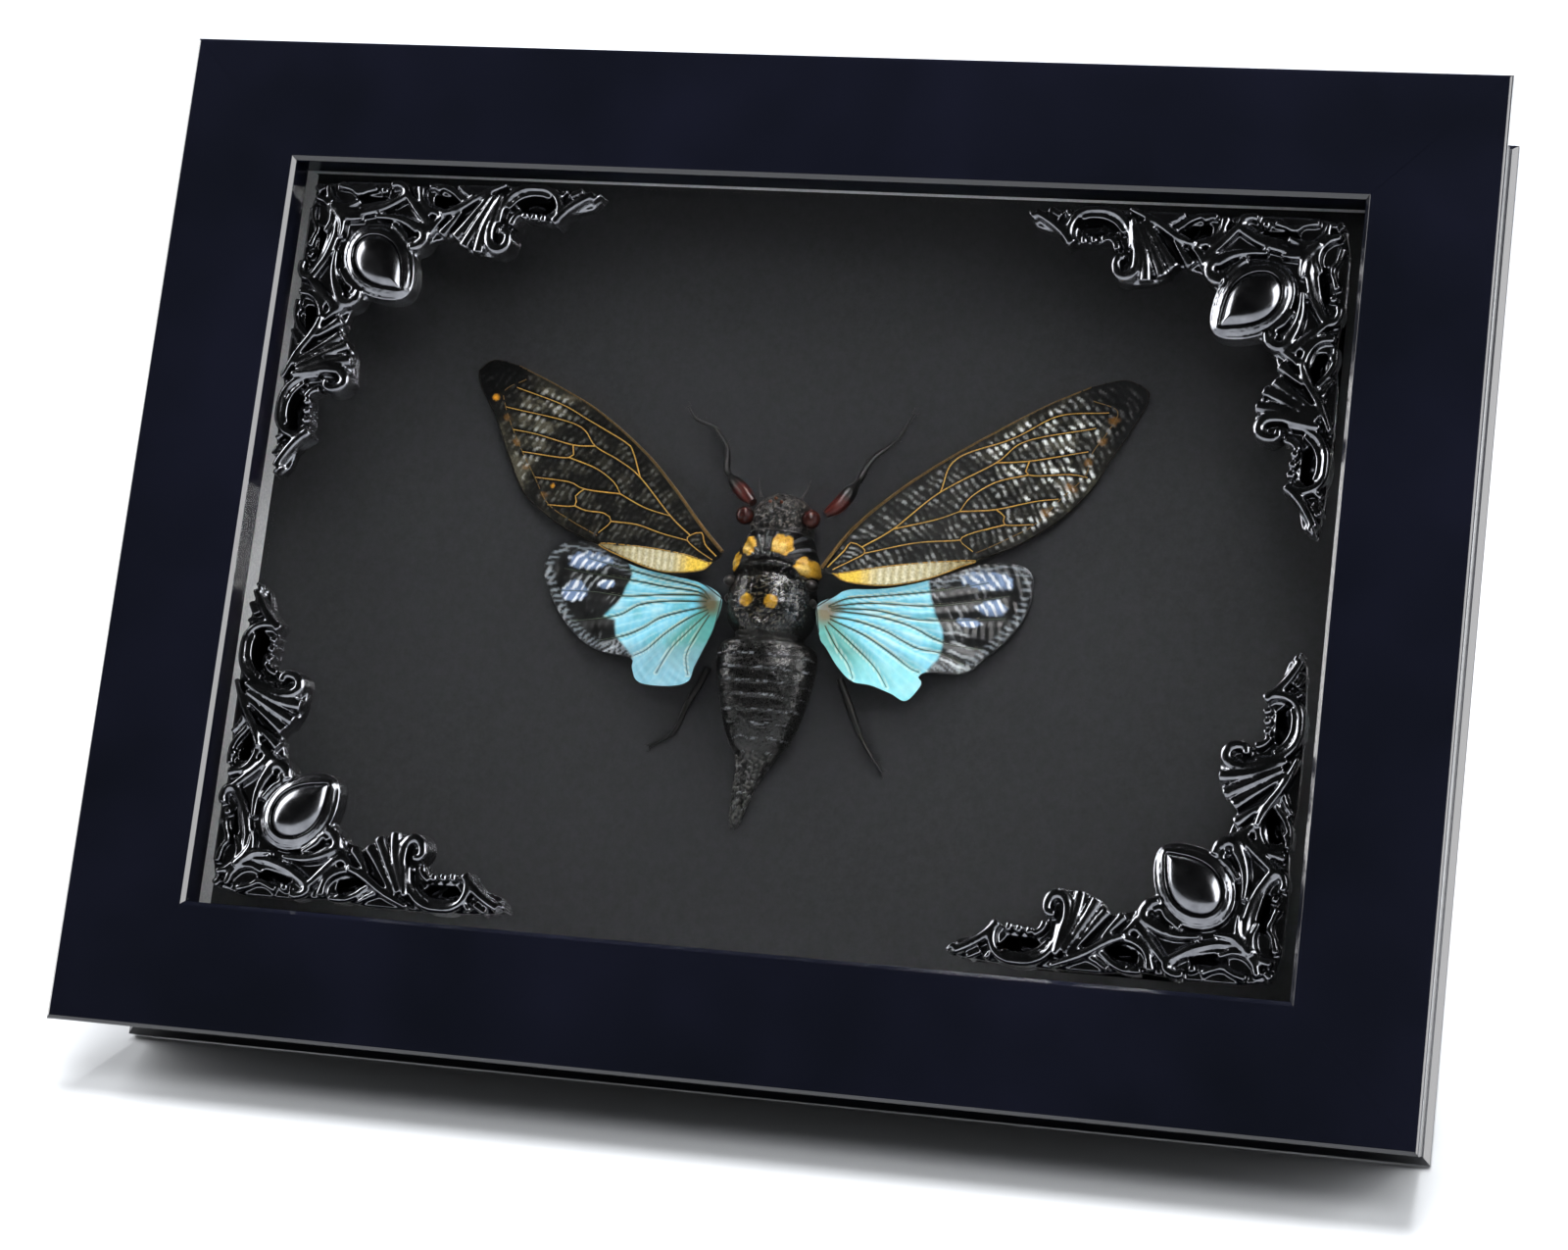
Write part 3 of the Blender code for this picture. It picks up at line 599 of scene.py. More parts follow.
def dropRing(out, count):
    # the drop's outline grown by so many mm, blunt end outward and point inward along the diagonal
    stone = casting["stone"]
    ring = []
    for index in range(count):
        turn = 2 * math.pi * index / count
        shrink = min(out, 0.0)
        tip = (1 - math.cos(turn)) / 2
        pinch = 1.0 - stone["pinch"] * tip ** 3
        lengthwise = -math.cos(turn) * (stone["length"] / 2 + shrink)
        crosswise = math.sin(turn) * (stone["width"] / 2 + shrink) * pinch
        grow = max(out, 0.0)
        lengthwise -= math.cos(turn) * grow * (1 - 0.5 * tip ** 8)
        crosswise += math.sin(turn) * grow
        ring.append((stone["place"] + (lengthwise - crosswise) * math.sqrt(0.5),
                     stone["place"] + (lengthwise + crosswise) * math.sqrt(0.5)))
    return ring


def rimTubes():
    strokes = []
    for out, crest, radius in casting["rims"]:
        ring = dropRing(out, 28)
        strokes.append((crest, [(p, q, radius) for p, q in ring + ring[:2]]))
    return scrollTubes(strokes)


def pierced():
    # the plate under the scrolls, with its openings cut through
    swapped = [(q, p) for p, q in plateEdge[1:]]
    edge = plateEdge + swapped[::-1]
    plate = outlineFace("plate", [onCasting(p, q, 0) for p, q in edge])
    extrudeBy(plate, (0, -casting["plate"] * mm, 0))
    cutters = []
    for hole in plateHoles:
        for shape in (hole, [(q, p) for p, q in hole]):
            cutter = outlineFace("cutter", [onCasting(p, q, -1) for p, q in shape])
            extrudeBy(cutter, (0, -(casting["plate"] + 2) * mm, 0))
            cutters.append(cutter)
    for cutter in cutters:
        applyModifier(plate, "BOOLEAN", object=cutter, operation="DIFFERENCE", solver="EXACT")
        bpy.data.objects.remove(cutter, do_unlink=True)
    return plate


def polishedDrop():
    # a domed stone lofted from shrinking rings
    stone = casting["stone"]
    levels = [(0.1, 1.5), (0.1, 3.1), (-0.08, 3.55), (-0.35, 3.95), (-0.75, 4.35), (-1.3, 4.7), (-2.0, 4.98),
              (-2.8, 5.15)]
    count = 48
    verts = [onCasting(p, q, height) for out, height in levels for p, q in dropRing(out, count)]
    verts.append(onCasting(stone["place"] - 0.8, stone["place"] - 0.8, stone["rise"]))
    faces = ringFaces(len(levels), count)
    last = (len(levels) - 1) * count
    for index in range(count):
        faces.append((last + index, last + (index + 1) % count, len(verts) - 1))
    faces.append(tuple(range(count - 1, -1, -1)))
    drop = addMesh("drop", verts, faces)
    faceOutward(drop)
    return drop


def blackCasting():
    # black-nickel plated die casting: a dark mirror, a little clouded and pitted
    material, tree, shader = startMaterial("blackNickelCasting")
    cloud = flatNoise(tree, 0.5, 4.0)
    tone = addNode(tree, "ValToRGB", {0: cloud}, [(0.3, "#5E5F63"), (0.7, "#7A7B7F")])
    tree.links.new(tone.outputs[0], shader.inputs["Base Color"])
    shader.inputs["Metallic"].default_value = 1.0
    addGloss(tree, shader, cloud, 0.14, 0.25)
    addBump(tree, shader, flatNoise(tree, 3.0, 2.0), 0.06, 0.0001)
    return material


def makeCastings():
    longArm = scrollTubes(scrolls)
    shortArm = scrollTubes([(crest, [(q, p, r) for p, q, r in stops]) for crest, stops in scrolls])
    body = pick(pierced(), longArm, shortArm, rimTubes())
    bpy.ops.object.join()
    body.name = "casting"
    applyModifier(body, "REMESH", mode="VOXEL", voxel_size=casting["voxel"] * mm)
    applyModifier(body, "SMOOTH", factor=0.5, iterations=casting["smoothing"])
    cutPiece(body, (0, casting["back"] * mm, 0), (0, 1, 0))
    applyModifier(body, "DECIMATE", ratio=casting["kept"])
    smoothShade(body, 75)
    drop = polishedDrop()
    smoothShade(drop, 60)
    pick(body, drop)
    bpy.ops.object.join()
    body.data.materials.append(blackCasting())
    x, z = casting["reach"]
    corners = [("top_left", -x, z), ("top_right", x, z), ("bottom_right", x, -z), ("bottom_left", -x, -z)]
    for turns, (corner, across, up) in enumerate(corners):
        copy = addObject("casting_" + corner, body.data.copy())
        copy.location = (across * mm, 0, up * mm)
        copy.rotation_euler = (0, turns * math.pi / 2, 0)
        seatPiece(copy, "frame", "black_casting", "corner_" + corner)
    bpy.data.objects.remove(body, do_unlink=True)


makeCastings()
print("castings done")


# Insect, drawn about its own middle line: across from it and up from the middle of the face, in mm


def smoothLine(points, closed=False, step=0.35):
    # an even Catmull-Rom run through the points
    points = [np.array(p, float) for p in points]
    count = len(points)
    out = []
    for index in range(count if closed else count - 1):
        if closed:
            a, b, c, d = (points[(index + k) % count] for k in (-1, 0, 1, 2))
        else:
            b, c = points[index], points[index + 1]
            a = points[index - 1] if index else 2 * b - c
            d = points[index + 2] if index + 2 < count else 2 * c - b
        parts = max(2, int(np.linalg.norm((c - b)[:2]) / step))
        for part in range(parts):
            t = part / parts
            out.append(0.5 * (2 * b + (c - a) * t + (2 * a - 5 * b + 4 * c - d) * t * t
                              + (3 * b - a - 3 * c + d) * t ** 3))
    if not closed:
        out.append(points[-1])
    return np.array(out)


def lineDistance(line, places):
    # how far each place is from a polyline
    line = np.asarray(line)[:, :2]
    nearest = np.full(len(places), 1e9)
    for a, b in zip(line[:-1], line[1:]):
        run = b - a
        share = np.clip(((places - a) @ run) / max(run @ run, 1e-9), 0, 1)
        gap = places - a - share[:, None] * run
        nearest = np.minimum(nearest, np.hypot(gap[:, 0], gap[:, 1]))
    return nearest


def rimDistance(outline, places):
    return lineDistance(np.vstack([outline, outline[:1]]), places)


def insideOf(polygon, places):
    polygon = np.asarray(polygon)[:, :2]
    inside = np.zeros(len(places), bool)
    x, y = places[:, 0], places[:, 1]
    for (x1, y1), (x2, y2) in zip(polygon, np.roll(polygon, -1, axis=0)):
        if y1 == y2:
            continue
        crossing = (y1 > y) != (y2 > y)
        inside ^= crossing & (x < (x2 - x1) * (y - y1) / (y2 - y1) + x1)
    return inside


def ease(low, high, values):
    share = np.clip((values - low) / (high - low), 0, 1)
    return share * share * (3 - 2 * share)


def waveOf(turns):
    return np.cos(2 * np.pi * turns)


def hill(*spans):
    # 1 in the middle, falling off smoothly over one span
    return np.exp(-sum(span ** 2 for span in spans))


def noiseAt(points):
    return np.array([noise.noise(Vector(p)) for p in points])


def grainOf(places, scale, seed):
    return noiseAt(np.column_stack([places[:, :2] / scale, np.full(len(places), seed)]))


def layered(base, layers, count):
    colours = np.tile(np.array(linear(base)[:3]), (count, 1))
    for mask, tone in layers:
        share = np.clip(np.asarray(mask, float), 0, 1)[:, None]
        colours = colours * (1 - share) + np.array(linear(tone)[:3]) * share
    return colours


def paintVertices(mesh, colours, dull=1.0):
    # the fourth value dulls the surface: 1 is the material's own roughness, less is glossier
    attribute = mesh.color_attributes.new("pigment", "FLOAT_COLOR", "POINT")
    values = np.ones((len(mesh.vertices), 4), np.float32)
    values[:, :3] = colours
    values[:, 3] = dull
    attribute.data.foreach_set("color", values.ravel())


def pigmented(name, roughness, relief, grain, shine=0.5, lowest=0.55):
    # the painted pigment, broken up by a fine grain that also lifts the surface
    material, tree, shader = startMaterial(name)
    pigment = addNode(tree, "Attribute", attribute_name="pigment")
    fine = flatNoise(tree, 1 / grain, 3.0)
    shade = addNode(tree, "ValToRGB", {0: fine}, [(0.3, lowest), (0.7, 1.0)])
    mixed = addNode(tree, "Mix", {0: 1.0, 6: pigment.outputs["Color"], 7: shade.outputs[0]},
                    data_type="RGBA", blend_type="MULTIPLY")
    tree.links.new(mixed.outputs[2], shader.inputs["Base Color"])
    gloss = addNode(tree, "MapRange", {0: fine, 3: roughness - 0.08, 4: roughness + 0.1})
    spread = addNode(tree, "Math", {0: gloss.outputs[0], 1: pigment.outputs["Alpha"]}, operation="MULTIPLY")
    tree.links.new(spread.outputs[0], shader.inputs["Roughness"])
    addBump(tree, shader, fine, 0.5, relief * mm)
    shader.inputs["Specular IOR Level"].default_value = shine
    return material


def insectPoint(across, up, depth):
    return Vector((across + placing["insectShift"], depth, up)) * mm


def tubeRun(name, strokes, tone, resolution=2):
    # strokes: points (across, up, depth, radius); one mesh painted one tone
    data = tubeCurve(name, resolution)
    for stops in strokes:
        spline = data.splines.new("POLY")
        spline.points.add(len(stops) - 1)
        for point, (across, up, depth, radius) in zip(spline.points, stops):
            point.co = (*insectPoint(across, up, depth), 1)
            point.radius = radius
    tubes = curveToMesh(name, data)
    paintVertices(tubes.data, layered(tone, [], len(tubes.data.vertices)))
    smoothShade(tubes, 60)
    return tubes


# Wings: a rippled membrane on a fine grid, its veins laid on as raised tubes

wing = {"grid": 0.27, "thickness": 0.09, "dashPitch": 1.22, "rowPitch": 1.35, "foldPitch": 1.3}
foreDepth = ([6, 10, 18, 26, 32, 38, 46, 56], [11.2, 12.0, 14.6, 16.9, 18.1, 18.75, 19.0, 19.2])
hindDepth = ([6, 10, 18, 26, 32, 38, 46], [13.0, 14.0, 16.0, 17.7, 18.8, 19.4, 19.6])

foreLeft = {
    "side": "left", "root": (-8.0, 1.6), "length": 55.0, "olive": 2.2, "bright": 0.32,
    "band": (0.66, 0.74, 0.82, 0.88),
    "costa": [(-8.0, 2.6), (-12.2, 6.7), (-18.0, 13.0), (-24.2, 19.0), (-33.1, 25.6), (-40.7, 29.6),
              (-48.0, 32.8), (-52.5, 33.6), (-54.9, 31.7)],
    "outer": [(-54.9, 31.7), (-54.0, 28.9), (-50.8, 24.0), (-48.2, 18.6), (-44.8, 12.4), (-41.4, 9.4),
              (-36.6, 6.4), (-30.3, 4.0)],
    "strip": [(-9.8, 0.7), (-14.9, 2.3), (-22.9, 3.6), (-30.3, 4.0), (-24.9, 1.6), (-18.4, -0.4),
              (-11.6, -0.4)],
    "veins": [
        [(-9.0, 1.9), (-11.2, 3.8), (-12.1, 5.7), (-14.1, 5.3), (-14.5, 4.5), (-12.4, 2.9), (-9.6, 1.3)],
        [(-14.1, 5.3), (-18.1, 8.5), (-24.5, 14.9), (-28.7, 17.7), (-33.2, 20.0), (-37.1, 23.5),
         (-49.5, 25.9)],
        [(-24.5, 14.9), (-26.4, 19.1), (-28.0, 20.7), (-35.2, 24.4), (-39.9, 26.7), (-48.0, 29.2)],
        [(-33.2, 20.0), (-37.1, 20.1), (-43.6, 21.6), (-47.7, 22.2)],
        [(-37.1, 20.1), (-37.5, 18.0), (-45.6, 18.6)],
        [(-37.5, 18.0), (-32.5, 16.3), (-29.1, 14.1), (-27.7, 12.2)],
        [(-27.7, 12.2), (-34.1, 12.9), (-37.0, 14.0), (-42.9, 14.5)],
        [(-34.1, 12.9), (-35.5, 11.7), (-35.4, 10.1), (-40.1, 10.1)],
        [(-35.4, 10.1), (-33.4, 9.4), (-30.1, 9.0), (-28.7, 7.7), (-30.7, 5.8)],
        [(-28.7, 7.7), (-24.1, 7.2), (-19.3, 5.7), (-14.5, 4.5)],
        [(-27.7, 12.2), (-22.9, 9.9), (-18.1, 8.5)],
    ],
    "ambient": [(-46.6, 30.6), (-50.0, 28.6), (-49.5, 25.9), (-47.7, 22.2), (-45.6, 18.6), (-42.9, 14.5),
                (-40.1, 10.3), (-35.6, 7.6), (-30.9, 5.4)],
    "spots": [(-51.3, 27.4, 0.8, 1.0), (-48.8, 24.1, 0.9, 0.4), (-46.7, 20.1, 0.9, 0.5),
              (-44.6, 16.0, 0.8, 0.5), (-41.0, 11.7, 0.8, 0.4), (-39.6, 13.2, 0.45, 1.0)],
}
foreRight = {
    "side": "right", "root": (8.1, 0.6), "length": 56.0, "olive": 1.0, "bright": 1.15,
    "band": (0.50, 0.66, 0.78, 0.90),
    "costa": [(8.1, 1.1), (12.2, 7.9), (17.9, 14.4), (24.3, 20.2), (31.0, 25.3), (38.9, 30.5), (45.7, 34.0),
              (50.9, 35.4), (54.3, 34.2)],
    "outer": [(54.3, 34.2), (54.8, 32.2), (52.3, 26.8), (49.6, 22.0), (47.7, 18.1), (44.4, 14.0),
              (41.0, 11.0), (36.6, 8.0), (30.8, 5.1)],
    "strip": [(10.1, 0.3), (17.3, 2.5), (24.6, 4.2), (30.8, 5.1), (28.4, 3.8), (23.5, 1.3), (17.7, -0.4),
              (12.1, -0.6)],
    "veins": [
        [(9.0, 1.3), (11.2, 4.2), (12.0, 5.6), (13.7, 5.1), (14.2, 4.2), (12.4, 2.8), (9.8, 1.0)],
        [(13.7, 5.1), (18.0, 8.6), (24.3, 15.3), (32.2, 20.9), (36.6, 24.8), (47.1, 27.5)],
        [(24.3, 15.3), (26.2, 20.9), (34.6, 25.1), (41.1, 29.1), (48.9, 30.1)],
        [(32.2, 20.9), (37.3, 21.6), (46.3, 23.7)],
        [(37.3, 21.6), (37.4, 19.4), (43.9, 19.9), (46.6, 19.6)],
        [(37.4, 19.4), (32.5, 17.8), (29.0, 15.1), (27.5, 12.6)],
        [(27.5, 12.6), (33.0, 13.5), (38.6, 15.2), (42.5, 15.9)],
        [(33.0, 13.5), (34.4, 12.5), (34.6, 11.2), (39.0, 11.6)],
        [(34.6, 11.2), (30.0, 9.5), (28.1, 8.1), (30.2, 6.5)],
        [(28.1, 8.1), (21.4, 6.8), (14.2, 4.2)],
        [(18.0, 8.6), (23.9, 10.8), (27.5, 12.6)],
    ],
    "ambient": [(46.0, 31.9), (50.2, 30.4), (49.0, 27.0), (47.0, 23.6), (46.2, 19.8), (42.8, 15.9),
                (39.4, 11.8), (34.6, 8.6), (30.6, 6.3)],
    "spots": [(49.9, 28.8, 1.1, 0.45), (48.3, 25.5, 1.0, 0.5), (46.5, 22.0, 1.0, 0.6),
              (44.2, 17.8, 1.1, 0.65), (40.7, 13.6, 1.2, 0.5)],
}
hindLeft = {
    "side": "left", "hub": (-9.8, -4.8), "lobe": "#7FA9B8",
    "outline": [(-7.8, -4.3), (-11.8, -1.9), (-16.7, -0.9), (-24.2, 0.8), (-31.0, 4.0), (-35.7, 4.4),
                (-38.6, 2.4), (-39.4, -0.2), (-38.1, -3.6), (-35.8, -7.2), (-32.5, -10.7), (-28.5, -13.0),
                (-22.4, -14.1), (-21.8, -15.8), (-20.3, -18.0), (-15.4, -18.5), (-11.9, -17.8),
                (-11.0, -15.4), (-9.4, -11.6), (-8.4, -8.7)],
    "edge": [(-24.4, 8.0), (-24.9, 1.0), (-24.2, -0.8), (-24.9, -2.8), (-26.0, -5.2), (-28.6, -7.7),
             (-26.1, -8.3), (-25.7, -10.8), (-22.3, -13.9), (-22.0, -20.0)],
    "spots": [(-27.1, -9.5, 1.1)],
    "patches": [(-31.6, 1.4, 3.9, 1.5), (-33.6, -3.6, 2.3, 1.7), (-28.2, -2.4, 1.6, 0.8)],
    "streaks": (16, 25, -0.75, -0.35),
    "veins": [
        [(-9.8, -4.4), (-11.6, -2.8), (-15.3, -1.9), (-19.1, -1.2), (-24.4, 0.0), (-32.0, 1.8)],
        [(-10.2, -4.5), (-12.0, -3.4), (-17.7, -2.6), (-22.7, -1.8), (-30.0, -0.8), (-36.0, 0.0)],
        [(-10.2, -4.6), (-11.9, -3.9), (-18.7, -3.9), (-24.7, -4.2), (-30.5, -3.6), (-36.4, -3.6)],
        [(-10.4, -4.9), (-17.4, -4.9), (-22.1, -5.6), (-25.2, -7.2), (-29.6, -8.0), (-33.6, -8.4)],
        [(-10.2, -5.7), (-14.6, -6.6), (-18.1, -7.6), (-20.8, -9.2), (-23.8, -10.5), (-29.0, -11.6)],
        [(-9.9, -6.1), (-13.3, -7.7), (-17.0, -10.2), (-19.8, -12.7), (-21.9, -13.7)],
        [(-9.5, -7.0), (-11.3, -10.1), (-12.6, -13.0), (-12.6, -14.5), (-12.0, -16.6)],
        [(-9.7, -6.6), (-12.6, -9.4), (-15.6, -12.6), (-17.6, -16.4)],
    ],
}
hindRight = {
    "side": "right", "hub": (9.2, -5.0), "lobe": "#86D3D6",
    "outline": [(7.6, -4.7), (10.0, -2.8), (11.9, -1.5), (16.3, -0.9), (20.3, 0.1), (24.6, 1.6), (28.6, 3.4),
                (32.2, 4.8), (37.2, 5.1), (39.6, 3.6), (39.8, 0.0), (38.9, -3.4), (36.9, -6.6), (33.7, -10.0),
                (30.8, -12.5), (27.4, -12.9), (25.0, -13.0), (24.0, -13.9), (24.6, -15.0), (22.6, -17.8),
                (20.1, -16.9), (17.0, -16.0), (14.2, -15.7), (11.9, -13.8), (9.8, -11.0), (8.6, -9.4)],
    "edge": [(24.0, 8.0), (24.2, 1.3), (24.7, -1.0), (25.7, -3.7), (27.2, -6.4), (27.3, -8.9),
             (26.8, -11.0), (25.3, -13.0), (25.2, -20.0)],
    "spots": [],
    "patches": [(32.8, 2.2, 4.3, 1.5), (34.0, -1.9, 2.6, 1.2), (30.6, -4.6, 2.0, 0.8)],
    "streaks": (15, 25, -0.62, -0.02),
    "veins": [
        [(9.3, -4.4), (12.0, -2.9), (16.2, -2.0), (24.9, -0.2), (33.0, 2.0)],
        [(9.3, -4.5), (15.4, -3.2), (25.7, -2.4), (36.4, 0.2)],
        [(9.8, -4.7), (16.4, -4.2), (22.2, -4.9), (27.0, -4.6), (36.2, -3.4)],
        [(9.8, -5.0), (16.8, -5.1), (22.0, -6.1), (25.6, -7.6), (28.4, -8.3), (33.4, -8.6)],
        [(9.7, -5.9), (13.7, -6.2), (18.0, -7.2), (21.3, -8.6), (23.4, -9.4), (27.1, -9.8), (30.6, -11.2)],
        [(9.8, -6.4), (15.2, -8.3), (19.4, -10.6), (22.5, -12.6), (24.0, -13.1)],
        [(9.2, -7.5), (11.2, -10.6), (13.3, -13.1), (14.2, -15.2)],
        [(9.6, -6.9), (13.4, -9.8), (17.2, -13.0), (19.4, -16.0)],
    ],
}


def membrane(name, outline, depthCurve, lift):
    # fills the outline with even triangles; lift gives each place its ripple towards the viewer
    low, high = outline.min(axis=0), outline.max(axis=0)
    xs = np.arange(low[0], high[0], wing["grid"])
    ys = np.arange(low[1], high[1], wing["grid"] * 0.87)
    grid = np.array([(x + (row % 2) * wing["grid"] / 2, y) for row, y in enumerate(ys) for x in xs])
    grid = grid[insideOf(outline, grid)]
    grid = grid[rimDistance(outline, grid) > wing["grid"] * 0.5]
    points = [Vector(p) for p in np.vstack([outline, grid])]
    rim = [list(range(len(outline)))]
    flat, _, faces, _, _, _ = delaunay_2d_cdt(points, [], rim, 1, 1e-5)
    places = np.array([tuple(p) for p in flat])
    depth = np.interp(np.abs(places[:, 0]), *depthCurve) - lift(places)
    verts = [insectPoint(x, z, y) for (x, z), y in zip(places, depth)]
    return addMesh(name, verts, [list(face) for face in faces]), places


def veinTubes(lines, tone, depthCurve, radius, endRadius):
    strokes = []
    for line in lines:
        run = smoothLine(line, step=0.7)
        depth = np.interp(np.abs(run[:, 0]), *depthCurve) - 0.03
        radii = np.linspace(radius, endRadius, len(run))
        strokes.append([(x, z, y, r) for (x, z), y, r in zip(run, depth, radii)])
    return tubeRun("veins", strokes, tone, 1)


def finishWing(sheet, tubes, material, slotName, kind, side):
    applyModifier(sheet, "SOLIDIFY", thickness=wing["thickness"] * mm, offset=0)
    smoothShade(sheet, 50)
    pick(sheet, *tubes)
    bpy.ops.object.join()
    sheet.data.materials.clear()
    sheet.data.materials.append(material)
    sheet.name = kind + "_membrane_" + side
    seatPiece(sheet, "frame", slotName, kind + "_" + side)


def makeForewing(spec, material):
    side = np.sign(spec["root"][0])
    rest = spec["strip"][3:] + spec["strip"][:1]
    outline = smoothLine(spec["costa"][:-1] + spec["outer"][:-1] + rest, True, 0.4)
    veins = [smoothLine(line) for line in spec["veins"]]
    strip = np.array(spec["strip"])
    root = np.array(spec["root"])

    def dashes(places):
        out = places - root
        reach = np.hypot(out[:, 0], out[:, 1])
        angle = np.arctan2(out[:, 1], out[:, 0] * side)
        gap = np.min([lineDistance(line, places) for line in veins], axis=0)
        wobble = 0.7 * grainOf(places, 2.2, 2.0)
        wave = waveOf((reach + angle * 5.0 + wobble) / wing["dashPitch"])
        rowGap = gap - 0.75 + 0.4 * grainOf(places, 1.5, 11.0)
        rows = 0.2 + 0.8 * ease(-0.5, 0.5, waveOf(rowGap / wing["rowPitch"]))
        return ease(0.05, 0.6, wave) * ease(0.2, 0.5, gap) * rows, gap, reach / spec["length"]

    sheet, places = membrane("forewing", outline, foreDepth, lambda p: 0.10 * dashes(p)[0])
    dash, gap, share = dashes(places)
    rimGap = rimDistance(outline, places)
    inStrip = insideOf(strip, places)
    stripRun = np.abs(places[:, 0])
    band = ease(*spec["band"][:2], share) * (1 - ease(*spec["band"][2:], share))
    patch = ease(-0.2, 0.35, grainOf(places, 2.6, 5.0) + 0.5 * grainOf(places, 0.7, 12.0))
    strength = (0.30 + 0.85 * band) * (1 - 0.8 * ease(0.80, 0.93, share)) * (0.10 + 0.95 * patch)
    olive = ease(0.35, 1.0, gap) * (0.12 + 0.75 * band) * (1 - ease(0.82, 0.92, share))
    layers = [
        (olive * (0.15 + 0.85 * patch) * 0.9 * spec["olive"], "#504D40"),
        (dash * strength * spec["bright"] * ease(0.5, 1.0, rimGap), "#F1F5F6"),
    ]
    for across, up, radius, level in spec["spots"]:
        away = np.hypot(places[:, 0] - across, (places[:, 1] - up) * 1.3)
        away += 0.5 * grainOf(places, 0.8, 13.0)
        tone = "#E8A02C" if level == 1 else "#8F6120"
        layers.append((level * (1 - ease(radius * 0.4, radius, away)), tone))
    ladder = 0.5 + 0.5 * waveOf(stripRun / 1.2)
    layers += [
        (inStrip, "#B9AE86"),
        (inStrip * ladder * 0.7, "#EDE8CC"),
        (inStrip * (1 - ease(13, 17, stripRun)), "#F0CB52"),
        (inStrip * ease(22, 29, stripRun) * 0.7, "#6E5C33"),
    ]
    paintVertices(sheet.data, layered("#0B0B0C", layers, len(places)))
    tubes = [veinTubes(lines, tone, foreDepth, radius, endRadius) for lines, tone, radius, endRadius in [
        ([spec["costa"][:7]], "#5F4A2A", 0.32, 0.12),
        (spec["veins"], "#BE9446", 0.12, 0.08),
        ([spec["ambient"]], "#6B5227", 0.09, 0.09),
        ([spec["strip"] + spec["strip"][:1]], "#A8813A", 0.11, 0.11),
        ([spec["costa"][6:], spec["outer"]], "#1C1814", 0.12, 0.12),
    ]]
    finishWing(sheet, tubes, material, "dark_wing", "forewing", spec["side"])


